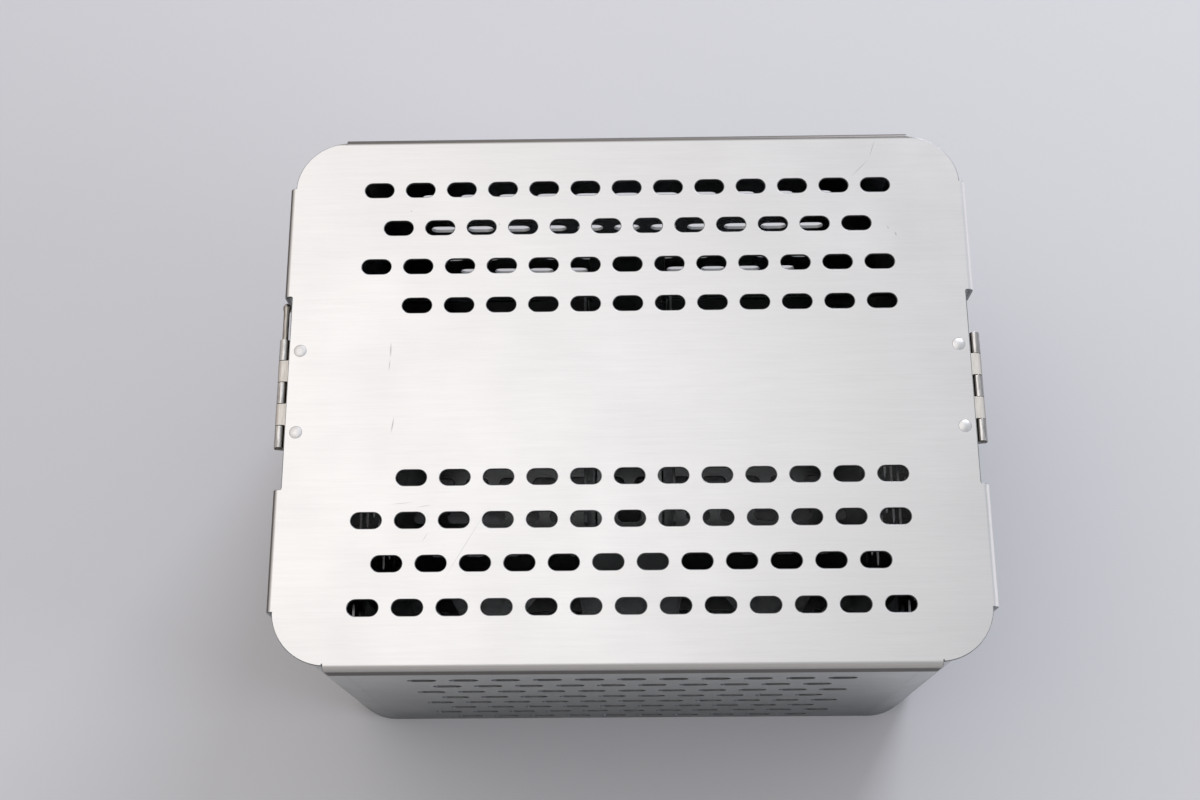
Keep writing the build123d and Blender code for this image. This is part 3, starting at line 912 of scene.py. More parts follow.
    def past_skirt(self, tree: Tree, place: Socket) -> Socket:
        """Zero inside the skirt line, rising to one past it in either direction.

        Args:
            tree: Node tree of the material.
            place: Socket of the place in the blank.

        Returns:
            Socket of the share.
        """
        shift = (self.skirt_shift[0] * MM, self.skirt_shift[1] * MM, 0.0)
        line = (self.skirt[0] * MM, self.skirt[1] * MM, 1.0)
        moved = add_node(tree, "ShaderNodeVectorMath", {"operation": "ADD", 1: shift}, {0: place}).outputs[0]
        reach = add_node(tree, "ShaderNodeVectorMath", {"operation": "ABSOLUTE"}, {0: moved}).outputs[0]
        beyond = add_node(tree, "ShaderNodeVectorMath", {"operation": "SUBTRACT", 1: line},
                          {0: reach}).outputs[0]
        along, across, _ = add_node(tree, "ShaderNodeSeparateXYZ", {}, {0: beyond}).outputs
        most = add_node(tree, "ShaderNodeMath", {"operation": "MAXIMUM"}, {0: along, 1: across}).outputs[0]
        return add_node(tree, "ShaderNodeMapRange", ramp(0.0, self.skirt_blend * MM),
                        {"Value": most}).outputs[0]

    def in_back_shade(self, tree: Tree, across: Socket) -> Socket:
        """One in the back bend and zero elsewhere: the share that has begun less the share that is over.

        Args:
            tree: Node tree of the material.
            across: Socket of the place across the blank.

        Returns:
            Socket of the share.
        """
        begun, over = (
            add_node(tree, "ShaderNodeMapRange", ramp(low * MM, high * MM), {"Value": across}).outputs[0]
            for low, high in (self.back_shade_start, self.back_shade_end)
        )
        return add_node(tree, "ShaderNodeMath", {"operation": "SUBTRACT"}, {0: begun, 1: over}).outputs[0]

    def unmarked(self, tree: Tree, place: Socket) -> Socket:
        """Low in the middle of every scratch, rising to one at its rim and beyond.

        Args:
            tree: Node tree of the material.
            place: Socket of the place in the blank.

        Returns:
            Socket of the share.
        """
        nearest = self.marks[0].nearness(tree, place)
        for mark in self.marks[1:]:
            pair = {0: nearest, 1: mark.nearness(tree, place)}
            nearest = add_node(tree, "ShaderNodeMath", {"operation": "MINIMUM"}, pair).outputs[0]
        return add_node(tree, "ShaderNodeMapRange", {**ramp(0.2, 1.0), "To Min": 0.35},
                        {"Value": nearest}).outputs[0]


@dataclass(frozen=True)
class CutEdge:
    """Punched or sheared edge of a sheet, without grain, torn in stretches, with painted shade beyond a
    reach.

    Attributes:
        name: Name of the material.
        colour: Colour of the edge, set darker as painted shade or white as a painted highlight.
        shade: Colour where the cut tore.
        tear: Length of a torn stretch in millimetres.
        metallic: How far it looks like bare metal; none for the white edge that stands in for a highlight.
        roughness: Roughness of the edge.
        reach: Distance front and back from the middle beyond which it takes painted shade, or nothing.
        fade: Width over which that painted shade begins.
        far_shade: Painted shade of the stretch beyond the reach.
    """

    name: str
    colour: str
    shade: str
    tear: float = 1.6
    metallic: float = 1.0
    roughness: float = 0.38
    reach: float = 0.0
    fade: float = 6.0
    far_shade: str = "#4c4f50"

    def material(self) -> Material:
        """Build the finish on object coordinates.

        Returns:
            The material.
        """
        material, shader = new_material(self.name, self.metallic, self.roughness, self.colour)
        tree = material.node_tree
        place = add_node(tree, "ShaderNodeTexCoord").outputs["Object"]
        scale = PER_METRE / self.tear
        torn = add_node(tree, "ShaderNodeTexNoise", {"Scale": scale, "Detail": 2.0},
                        {"Vector": place}).outputs[0]
        colour = blended(tree, torn, self.colour, self.shade)
        # Painted shade beyond a reach front and back from the middle.
        if self.reach:
            across = add_node(tree, "ShaderNodeSeparateXYZ", {}, {0: place}).outputs[1]
            far = add_node(tree, "ShaderNodeMath", {"operation": "ABSOLUTE"}, {0: across}).outputs[0]
            ends = ramp(self.reach * MM, (self.reach + self.fade) * MM)
            shaded_edge = add_node(tree, "ShaderNodeMapRange", ends, {"Value": far}).outputs[0]
            colour = blended(tree, shaded_edge, colour, self.far_shade)
        tree.links.new(colour, shader.inputs["Base Color"])
        return material


@dataclass(frozen=True)
class Steel:
    """Stainless steel, rolled, drawn or tumbled, with fine marks and a little handling haze.

    Attributes:
        name: Name of the material.
        light: Colour of the clean metal.
        dark: Colour in the marks.
        roughness: Roughness of the clean metal.
        side: Painted shade on faces that turn away from the top, or nothing for a piece without it.
        shade_levels: Upward part of the normal at which a face takes all of that painted shade, and none.
        unshaded_below: Height in millimetres below which there is no such painted shade.
        mark: Size of a mark in millimetres along X, Y and Z.
        relief: Depth of the marks in millimetres.
    """

    name: str
    light: str
    dark: str
    roughness: float
    side: str = ""
    shade_levels: Pair = (0.35, 0.85)
    unshaded_below: float = 193.0
    mark: Triple = (0.5, 6.0, 0.5)
    relief: float = 0.004

    def material(self) -> Material:
        """Build the finish on object coordinates.

        Returns:
            The material.
        """
        material, shader = new_material(self.name, 1.0, self.roughness, self.light)
        tree = material.node_tree
        place = add_node(tree, "ShaderNodeTexCoord").outputs["Object"]
        stretch = {"operation": "MULTIPLY", 1: tuple(PER_METRE / size for size in self.mark)}
        lines = add_node(tree, "ShaderNodeVectorMath", stretch, {0: place}).outputs[0]
        noise = {"Scale": 1.0, "Detail": 3.0, "Roughness": 0.6}
        marks = add_node(tree, "ShaderNodeTexNoise", noise, {"Vector": lines}).outputs[0]
        tone = add_node(tree, "ShaderNodeMapRange", ramp(0.3, 0.6), {"Value": marks}).outputs[0]
        colour = blended(tree, tone, self.dark, self.light)
        # Painted shade on faces that turn away from the top, above a height.
        if self.side:
            normal = add_node(tree, "ShaderNodeTexCoord").outputs["Normal"]
            level = add_node(tree, "ShaderNodeSeparateXYZ", {}, {0: normal}).outputs[2]
            top = add_node(tree, "ShaderNodeMapRange", ramp(*self.shade_levels), {"Value": level}).outputs[0]
            height = add_node(tree, "ShaderNodeSeparateXYZ", {}, {0: place}).outputs[2]
            limit = {"operation": "LESS_THAN", 1: self.unshaded_below * MM}
            below = add_node(tree, "ShaderNodeMath", limit, {0: height}).outputs[0]
            unshaded = add_node(tree, "ShaderNodeMath", {"operation": "MAXIMUM"}, {0: top, 1: below}).outputs[0]
            colour = blended(tree, unshaded, self.side, colour)
        tree.links.new(colour, shader.inputs["Base Color"])
        hazy = {**ramp(0.35, 0.65), "To Min": self.roughness + 0.08, "To Max": self.roughness}
        haze = add_node(tree, "ShaderNodeMapRange", hazy, {"Value": marks}).outputs[0]
        tree.links.new(haze, shader.inputs["Roughness"])
        relief = {"Strength": 0.5, "Distance": self.relief * MM}
        bump = add_node(tree, "ShaderNodeBump", relief, {"Height": marks}).outputs[0]
        tree.links.new(bump, shader.inputs["Normal"])
        return material


LID_MARKS = (
    Scratch((115.8, 121.4), (112.2, 110.5)), Scratch((112.2, 110.5), (103.5, 101.4)),
    Scratch((-60.7, -52.8), (-81.4, -87.8), 0.22), Scratch((-78.3, -57.1), (-83.8, -65.0), 0.22),
    Scratch((-106.3, 22.8), (-106.4, 15.1), 0.9), Scratch((-106.4, 15.1), (-106.8, 8.7), 0.5),
    Scratch((-103.7, -11.9), (-104.9, -20.3), 0.8), Scratch((-104.3, -52.2), (-93.3, -51.2), 0.3),
    Scratch((-93.2, -53.7), (-85.1, -52.4), 0.3), Scratch((-87.0, -64.4), (-90.1, -69.6), 0.25),
    Scratch((121.9, 73.8), (122.7, 71.5), 0.7), Scratch((118.7, 76.9), (119.3, 75.0), 0.5),
    Scratch((-99.5, 87.4), (-99.0, 86.4), 0.6), Scratch((-58.8, 80.4), (-58.3, 79.2), 0.6),
)


@dataclass(frozen=True)
class Finish:
    """What a piece wears.

    Attributes:
        slot: The record's material slot that it stands for; not used by this script.
        materials: Material of the faces and, for a sheet, of the cut edges.
    """

    slot: str
    materials: list[Material]


@dataclass(frozen=True)
class Finishes:
    """Every finish of the container, built once. The bay is the part of the rack that holds instruments."""

    lid: Finish
    wall: Finish
    rack: Finish
    bay: Finish
    leaf: Finish
    latch: Finish
    bracket: Finish
    pin: Finish
    handle: Finish
    rivet: Finish

    @classmethod
    def built(cls) -> "Finishes":
        """Build the materials, the sheets with a cut-edge material painted darker as shade or white as a
        highlight.

        Returns:
            The finishes.
        """
        # Rack upright edges: white and matt as a painted highlight, with painted shade beyond the reach.
        highlight_and_shade_edge = CutEdge("painted_highlight_and_shade_edge", "#ffffff", "#f4f4f4", metallic=0.0, roughness=0.5,
                         reach=50.0)
        # Lid and wall slot edges: darker as painted shade.
        slot_shade_edge = CutEdge("painted_shade_aluminium_edge", "#999b9c", "#808384").material()
        # Partition and cross plate edges: darker as painted shade.
        shaded_edge = CutEdge("painted_shade_rack_edge", "#7b7e7f", "#66696a", roughness=0.5)
        # Lid: bend colour painted by tilt, with painted shade past the skirt line.
        lid = BrushedAluminium("brushed_lid_aluminium", bend="#f0eeeb", marks=LID_MARKS)
        # Walls: a darker copy of the lid's aluminium and darker towards the foot, both painted shade.
        wall = BrushedAluminium("brushed_wall_aluminium", "#d3d6d5", "#bfc2c1", foot="#64696a")
        # Rack uprights: a darker copy of the rack aluminium, painted shade.
        shaded_rack = BrushedAluminium("painted_shade_rack_aluminium", "#8a8e90", "#7d8183", mill_and_shade="#6a6d6f", roughness=0.24)
        rolled = BrushedAluminium("rolled_rack_aluminium", "#c6c9ca", "#bcbfc1", mill_and_shade="#7b7e80",
                                  roughness=0.24)
        # Steel side colours: painted shade on faces that turn away from the top.
        leaf = Steel("matt_rolled_steel", "#e6e3dc", "#d6d2ca", 0.5, side="#8d867b")
        latch = Steel("tumbled_steel", "#e0dfdd", "#a9a6a2", 0.2, side="#4f4740")
        bracket = Steel("satin_steel_plate", "#c9c8c5", "#b0afab", 0.34)
        pin = Steel("drawn_steel_pin", "#c2bdb5", "#7d776f", 0.24, side="#5c5148")
        handle = Steel("drawn_steel_wire", "#c6c5c3", "#9b9a97", 0.22)
        rivet = Steel("aluminium_rivet", "#ececeb", "#dededd", 0.36, mark=(0.6, 0.6, 0.6), relief=0.001)
        return cls(
            lid=Finish("aluminium_lid", [lid.material(), slot_shade_edge]),
            wall=Finish("aluminium_wall", [wall.material(), slot_shade_edge]),
            rack=Finish("aluminium_rack", [shaded_rack.material(), highlight_and_shade_edge.material()]),
            bay=Finish("aluminium_rack", [rolled.material(), shaded_edge.material()]),
            leaf=Finish("steel_leaf", [leaf.material()]),
            latch=Finish("steel_latch", [latch.material()]),
            bracket=Finish("steel_bracket", [bracket.material()]),
            pin=Finish("steel_pin", [pin.material()]),
            handle=Finish("steel_handle", [handle.material()]),
            rivet=Finish("aluminium_rivet", [rivet.material()]),
        )


# ---------------------------------------------------------------------------
# Sub-assemblies
# ---------------------------------------------------------------------------
@dataclass(frozen=True)
class Perforation:
    """Slot grid that the lid, walls, floor and rack share.

    Attributes:
        pitch: Spacing of slots and rows.
        length: Length of a slot.
        width: Width of a slot.
    """

    pitch: float = 19.05
    length: float = 13.4
    width: float = 7.15

    def row(self, half_span: float, margin: float, shifted: bool) -> np.ndarray:
        """Slot centres of one row: whole or half multiples of the pitch inside the margins.

        Args:
            half_span: Half the width of the sheet.
            margin: Least distance from a centre to its edge.
            shifted: Whether the row stands half a pitch over.

        Returns:
            Places along the row.
        """
        steps = math.floor((half_span - margin) / self.pitch)
        if shifted:
            return (np.arange(-steps, steps) + 0.5) * self.pitch
        return np.arange(-steps, steps + 1) * self.pitch

    def grid(self, rows: np.ndarray, half_span: float, margin: float,
             shifted_first: bool = False) -> np.ndarray:
        """Centres of rows at given heights, every other row shifted by half a pitch.

        Args:
            rows: Height of each row.
            half_span: Half the width of the sheet.
            margin: Least distance from a centre to its edge.
            shifted_first: Whether the first row is a shifted one.

        Returns:
            Centres, as rows of two values.
        """
        return np.concatenate([
            np.stack([centres, np.full_like(centres, level)], axis=1)
            for index, level in enumerate(rows)
            for centres in [self.row(half_span, margin, (index % 2 == 1) != shifted_first)]
        ])

    def holes(self, centres: np.ndarray, steps: int) -> list[np.ndarray]:
        """Loops of the slots at some centres."""
        return stadiums(centres, self.length, self.width, steps)


@dataclass
class Lid:
    """Lift-off lid: one sheet with a long flange front and back and two short ones at each end."""

    slots: Perforation
    sheet: float = 1.6
    bend: float = 1.8
    side_from: float = 45.0
    side_inset: float = 24.9
    long_inset: float = 25.2
    corner: float = 24.0
    corner_step: Pair = (2.6, 2.0)
    notch: float = 3.7
    notch_corner: float = 0.6
    flange_corner: float = 1.5
    slit: float = 0.12
    first_row: float = 40.25
    shifted_row: int = 2
    end_margin: float = 30.0
    side_margin: float = 18.0
    rivet_inset: float = 8.7
    rivet_spacing: float = 38.1
    rivet_radius: float = 2.85
    rivet_lap: float = 0.3
    edge: float = 0.3

    def __post_init__(self) -> None:
        """Take the lid's outer sizes from the frame."""
        low, high = cad_box("lid_panel")
        self.half_length, self.half_depth, self.top = (float(value) for value in high)
        self.flange = float(high[2] - low[2])
        self.fold_inset = self.bend + self.sheet / 2

    def rivet_places(self, end: End) -> np.ndarray:
        """Centres of the two flush rivets at one end."""
        x = end.value * (self.half_length - self.rivet_inset)
        return np.array([(x, -self.rivet_spacing / 2), (x, self.rivet_spacing / 2)])

    def slot_centres(self) -> np.ndarray:
        """Centres of the four rows in front and the four behind the plain middle.

        Returns:
            Centres, as rows of two values.
        """
        reach = self.half_depth - self.side_margin - self.first_row
        rows = []
        for row in range(math.floor(reach / self.slots.pitch) + 1):
            centres = self.slots.row(self.half_length, self.end_margin, row == self.shifted_row)
            centres = centres[1:] if row == 0 else centres
            level = self.first_row + row * self.slots.pitch
            rows += [np.stack([centres, np.full_like(centres, y)], axis=1) for y in (-level, level)]
        return np.concatenate(rows)

    def folds(self) -> list[Fold]:
        """Bends of the six flanges, all down from the face.

        Returns:
            Bends at the left, the right, the front and the back.
        """
        side_end = self.half_depth - self.side_inset + self.slit / 2
        long_end = self.half_length - self.long_inset + self.slit / 2
        side_reach, long_reach = (self.side_from - 0.5, side_end), (0, long_end)
        lines = [(0, self.half_length, side_reach), (1, self.half_depth, long_reach)]
        return [Fold(axis, side, half - self.fold_inset, self.bend, -90, reach)
                for axis, half, reach in lines for side in (-1, 1)]

    def outline(self) -> np.ndarray:
        """Outline of the flat blank: one quarter from the end's middle to the back's, mirrored twice.

        Returns:
            Anticlockwise loop.
        """
        across, _, along, _ = self.folds()
        straight = self.flange - self.fold_inset
        tip_x = across.start + across.arc + straight
        tip_y = along.start + along.arc + straight
        side_end = self.half_depth - self.side_inset
        long_end = self.half_length - self.long_inset
        notch_x = self.half_length - self.notch
        slit_x, slit_y = across.start - self.slit, along.start - self.slit
        corner = np.array([self.half_length, self.half_depth]) - self.corner_step
        centre = corner - self.corner
        first = math.asin((side_end + self.slit - centre[1]) / self.corner)
        last = math.acos((long_end + self.slit - centre[0]) / self.corner)
        angle = np.linspace(first, last, 25)
        arc = centre + self.corner * np.stack([np.cos(angle), np.sin(angle)], axis=1)
        before = [(notch_x, self.side_from), (tip_x, self.side_from), (tip_x, side_end), (slit_x, side_end),
                  (slit_x, side_end + self.slit)]
        after = [(long_end + self.slit, slit_y), (long_end, slit_y), (long_end, tip_y)]
        quarter = np.concatenate([before, arc, after])
        radii = np.zeros(len(quarter))
        radii[[0, 1, 2, -1]] = (self.notch_corner, *[self.flange_corner] * 3)
        half = np.concatenate([quarter[::-1] * (1, -1), quarter])
        return symmetrical(half, np.concatenate([radii[::-1], radii]), steps=4)

    def build(self, finishes: Finishes) -> None:
        """Make the lid sheet and its flush rivets.

        Args:
            finishes: Finishes of the container.
        """
        holes = self.slots.holes(self.slot_centres(), steps=10)
        places = np.concatenate([self.rivet_places(end) for end in End])
        holes += circles(places, self.rivet_radius - self.rivet_lap, steps=32)
        sheet = Sheet(self.outline(), holes, self.sheet, self.edge, edge_steps=3, folds=self.folds())
        stood = sheet.surface().stood(Facing.UP, (0, 0, self.top - self.sheet / 2))
        stood.piece("lid_sheet", "lid", finishes.lid, "lid_panel")
        radius = self.rivet_radius
        profile = [(0, 0), (radius - 0.2, 0), (radius, -0.14), (SHANK, -1.25), (SHANK, -2.4), (TAIL, -2.4),
                   (TAIL, -3.3), (TAIL - 0.2, -3.5), (0, -3.5)]
        head = turned_part(profile)
        rivets = together([head.stood(Facing.UP, (x, y, self.top)) for x, y in places])
        rivets.piece("lid_rivet_set", "lid", finishes.rivet, "lid_rivets")


@dataclass
class Base:
    """Open box: flat front and back walls between two U-shaped ends, over a perforated floor."""

    slots: Perforation
    wall: float = 1.6
    corner: float = 26.0
    row_drop: float = 53.4
    bottom_margin: float = 9.0
    side_margin: float = 18.0
    floor_margin: float = 12.0
    relief: Pair = (27.0, 1.8)
    relief_corner: float = 0.5
    edge: float = 0.03
    corner_steps: int = 14
    slot_steps: int = 8

    def __post_init__(self) -> None:
        """Take the box's outer sizes from the frame."""
        self.half_length = cad_box("base_right_end")[1][0]
        _, self.half_depth, self.height = cad_box("base_back_wall")[1]

    def rows(self) -> np.ndarray:
        """Heights of the wall's slot rows, from the top one down.

        Returns:
            Heights over the ground.
        """
        top = self.height - self.row_drop
        count = math.floor((top - self.bottom_margin) / self.slots.pitch) + 1
        return top - self.slots.pitch * np.arange(count)

    def flat_wall(self) -> Surface:
        """Front wall in its blank: a rectangle with slots.

        Returns:
            The flat sheet about its middle.
        """
        flat, half = self.half_length - self.corner, self.height / 2
        outline = symmetrical([(flat, -half), (flat, half)], 0.0, steps=1)
        centres = self.slots.grid(self.rows() - half, flat, self.side_margin)
        holes = self.slots.holes(centres, self.slot_steps)
        return Sheet(outline, holes, self.wall, self.edge, edge_steps=1).surface()

    def end_wall(self, bracket: "Bracket") -> Surface:
        """U-shaped end: a rectangle with slots, folded round both corners.

        Args:
            bracket: Bracket that covers some slots and brings its rivet holes.

        Returns:
            The folded sheet about its middle.
        """
        flat, half = self.half_depth - self.corner, self.height / 2
        radius = self.corner - self.wall / 2
        folds = [Fold(0, side, flat, radius, -90, (0, half + 0.5), self.corner_steps) for side in (-1, 1)]
        tip = flat + folds[0].arc
        notch, depth = self.relief
        corners = [(tip, -half), (tip, half), (notch, half), (notch, half - depth)]
        outline = symmetrical(corners, [0, 0, self.relief_corner, self.relief_corner], steps=3)
        centres = self.slots.grid(self.rows() - half, flat, self.side_margin)
        centres = centres[bracket.leaves_open(centres + (0, half), self.slots)]
        holes = self.slots.holes(centres, self.slot_steps)
        holes += circles(bracket.rivet_places() - (0, half), SHANK, steps=16)
        return Sheet(outline, holes, self.wall, self.edge, edge_steps=1, folds=folds).surface()

    def floor(self) -> Surface:
        """Floor plate inside the walls, as it looks from below, where its brushed face is.

        Returns:
            The flat sheet about its middle.
        """
        half_x, half_y = self.half_length - self.wall, self.half_depth - self.wall
        half = [(half_x, -half_y), (half_x, half_y)]
        outline = symmetrical(half, self.corner - self.wall, self.corner_steps)
        levels = self.slots.row(half_y, self.floor_margin, shifted=True)
        centres = self.slots.grid(levels, half_x, self.side_margin, shifted_first=True)
        holes = self.slots.holes(centres, self.slot_steps)
        return Sheet(outline, holes, self.wall, self.edge, edge_steps=1).surface()

    def build(self, finishes: Finishes, bracket: "Bracket") -> None:
        """Make the four walls and the floor.

        Args:
            finishes: Finishes of the container.
            bracket: Bracket that the ends carry.
        """
        wall, end_wall = self.flat_wall(), self.end_wall(bracket)
        middle, half = self.half_depth - self.wall / 2, self.height / 2
        front = wall.stood(Facing.FRONT, (0, -middle, half))
        back = wall.stood(Facing.BACK, (0, middle, half))
        front.piece("front_wall_sheet", "base", finishes.wall, "base_front_wall")
        back.piece("back_wall_sheet", "base", finishes.wall, "base_back_wall")
        right = end_wall.stood(Facing.RIGHT, (self.half_length - self.wall / 2, 0, half))
        for end in End:
            name = f"{end.word}_end_sheet"
            right.at_end(end).piece(name, "base", finishes.wall, f"base_{end.word}_end")
        plate = self.floor().stood(Facing.DOWN, (0, 0, self.wall / 2))
        plate.piece("floor_sheet", "base", finishes.wall, "base_floor")


@dataclass
class Bracket:
    """End bracket: a keeper lip above for the latch's hooks, and two rolls below for the handle."""

    sheet: float = 1.2
    half_width: float = 38.0
    lip_half_width: float = 24.0
    roll_length: float = 10.0
    roll_middle: float = 3.15
    lip_bend: float = 1.0
    lip_rise: float = 6.0
    lip_reach: float = 1.9
    rivet_side: float = 30.0
    rivet_drops: Pair = (12.0, 28.0)
    slot_gap: float = 2.0
    curl: float = 292.0
    corners: tuple[float, ...] = (0.8, 0.3, 0.3, 3.0, 0.8, 1.2)
    edge: float = 0.2
    handle_radius: float = 2.5
    handle_half: float = 46.0
    handle_drop: float = 48.0
    leg_bend: float = 5.0
    grip_bend: float = 12.0
    leg_gap: float = 0.5

    def __post_init__(self) -> None:
        """Take the bracket's place from the frame."""
        low, high = cad_box("right_end_bracket")
        self.inner = float(low[0])
        self.top = float(high[2])
        self.roll_outer = self.roll_middle + self.sheet / 2
        self.axis_z = float(low[2]) + self.roll_outer
        self.axis_x = self.inner + self.sheet / 2 + self.roll_middle

    def rivet_places(self) -> np.ndarray:
        """Rivet centres, as Y and Z."""
        drops = self.rivet_drops
        return np.array([(side * self.rivet_side, self.top - drop) for side in (-1, 1) for drop in drops])

    def leaves_open(self, centres: np.ndarray, slots: Perforation) -> np.ndarray:
        """Which end-wall slots stay clear of the bracket.

        Args:
            centres: Slot centres, as Y and Z.
            slots: Slot grid of the wall.

        Returns:
            Whether each slot is cut.
        """
        beside = np.abs(centres[:, 0]) - slots.length / 2 > self.half_width + self.slot_gap
        below = centres[:, 1] + slots.width / 2 < self.axis_z - self.roll_outer
        above = centres[:, 1] - slots.width / 2 > self.top
        return beside | below | above

    def plate(self) -> Surface:
        """Bracket blank with its heights counted from the handle's axis, folded.

        Returns:
            The folded sheet, facing outwards.
        """
        lip_start = self.top - self.sheet / 2 - self.lip_bend - self.axis_z
        roll_from = self.half_width - self.roll_length
        folds = [
            Fold(1, 1, lip_start, self.lip_bend, 90, (0, self.lip_half_width + 0.5), steps=6),
            Fold(1, -1, 0.0, self.roll_middle, self.curl, (roll_from - 0.5, self.half_width + 0.5), steps=20),
        ]
        lip_tip = lip_start + folds[0].arc + self.lip_reach
        roll_tip = -folds[1].arc - 0.4
        shoulder = self.top - self.lip_rise - self.axis_z
        half = [(roll_from, self.roll_outer), (roll_from, roll_tip), (self.half_width, roll_tip),
                (self.half_width, shoulder), (self.lip_half_width, shoulder), (self.lip_half_width, lip_tip)]
        outline = symmetrical(half, self.corners, steps=5)
        holes = circles(self.rivet_places() - (0, self.axis_z), SHANK, steps=16)
        return Sheet(outline, holes, self.sheet, self.edge, edge_steps=2, folds=folds).surface()

    def bail(self) -> Surface:
        """Wire handle in the plane of Y and Z, with its ends inside the rolls.

        Returns:
            The wire at the right-hand end.
        """
        leg = self.half_width - self.roll_length + self.leg_gap
        side = (self.handle_half - leg - self.leg_bend, 0.0)
        arm = (self.handle_drop - self.leg_bend - self.grip_bend, 0.0)
        grip = (2 * (self.handle_half - self.grip_bend), 0.0)
        small, large = (self.leg_bend * QUARTER, -QUARTER), (self.grip_bend * QUARTER, -QUARTER)
        line = BentLine((side, small, arm, large, grip, large, arm, small, side), start=(leg, 0.0))
        return wire(line, self.handle_radius, (self.axis_x, 0, self.axis_z), step=1.3)

    def rivet(self) -> Surface:
        """Round-headed rivet whose head's seat is at the origin.

        Returns:
            The rivet, its head upwards.
        """
        ball, rim = 3.9, math.radians(50)
        angle = np.linspace(0, 1, 6)[:, None] * rim
        dome = np.column_stack([ball * np.sin(angle), ball * (np.cos(angle) - math.cos(rim))])
        rest = [(3.0, 0.0), (SHANK, -0.01), (SHANK, -2.8), (TAIL, -2.81), (TAIL, -3.7), (TAIL - 0.2, -3.9),
                (0, -3.91)]
        return turned_part(np.concatenate([dome, rest]), segments=20)

    def build(self, finishes: Finishes) -> None:
        """Make both brackets, their rivets and the two handles.

        Args:
            finishes: Finishes of the container.
        """
        middle = self.inner + self.sheet / 2
        plate = self.plate().stood(Facing.RIGHT, (middle, 0, self.axis_z))
        seat = self.inner + self.sheet
        rivet = self.rivet()
        rivets = together([rivet.stood(Facing.RIGHT_TURNED, (seat, y, z)) for y, z in self.rivet_places()])
        bail = self.bail()
        for end in End:
            word = end.word
            plate.at_end(end).piece(f"{word}_bracket_sheet", "base", finishes.bracket, f"{word}_end_bracket")
            rivets.at_end(end).piece(f"{word}_bracket_rivet_set", "base", finishes.rivet,
                                     f"{word}_bracket_rivets")
            bail.at_end(end).piece(f"{word}_handle_wire", f"{word}_handle", finishes.handle,
                                   f"{word}_handle")


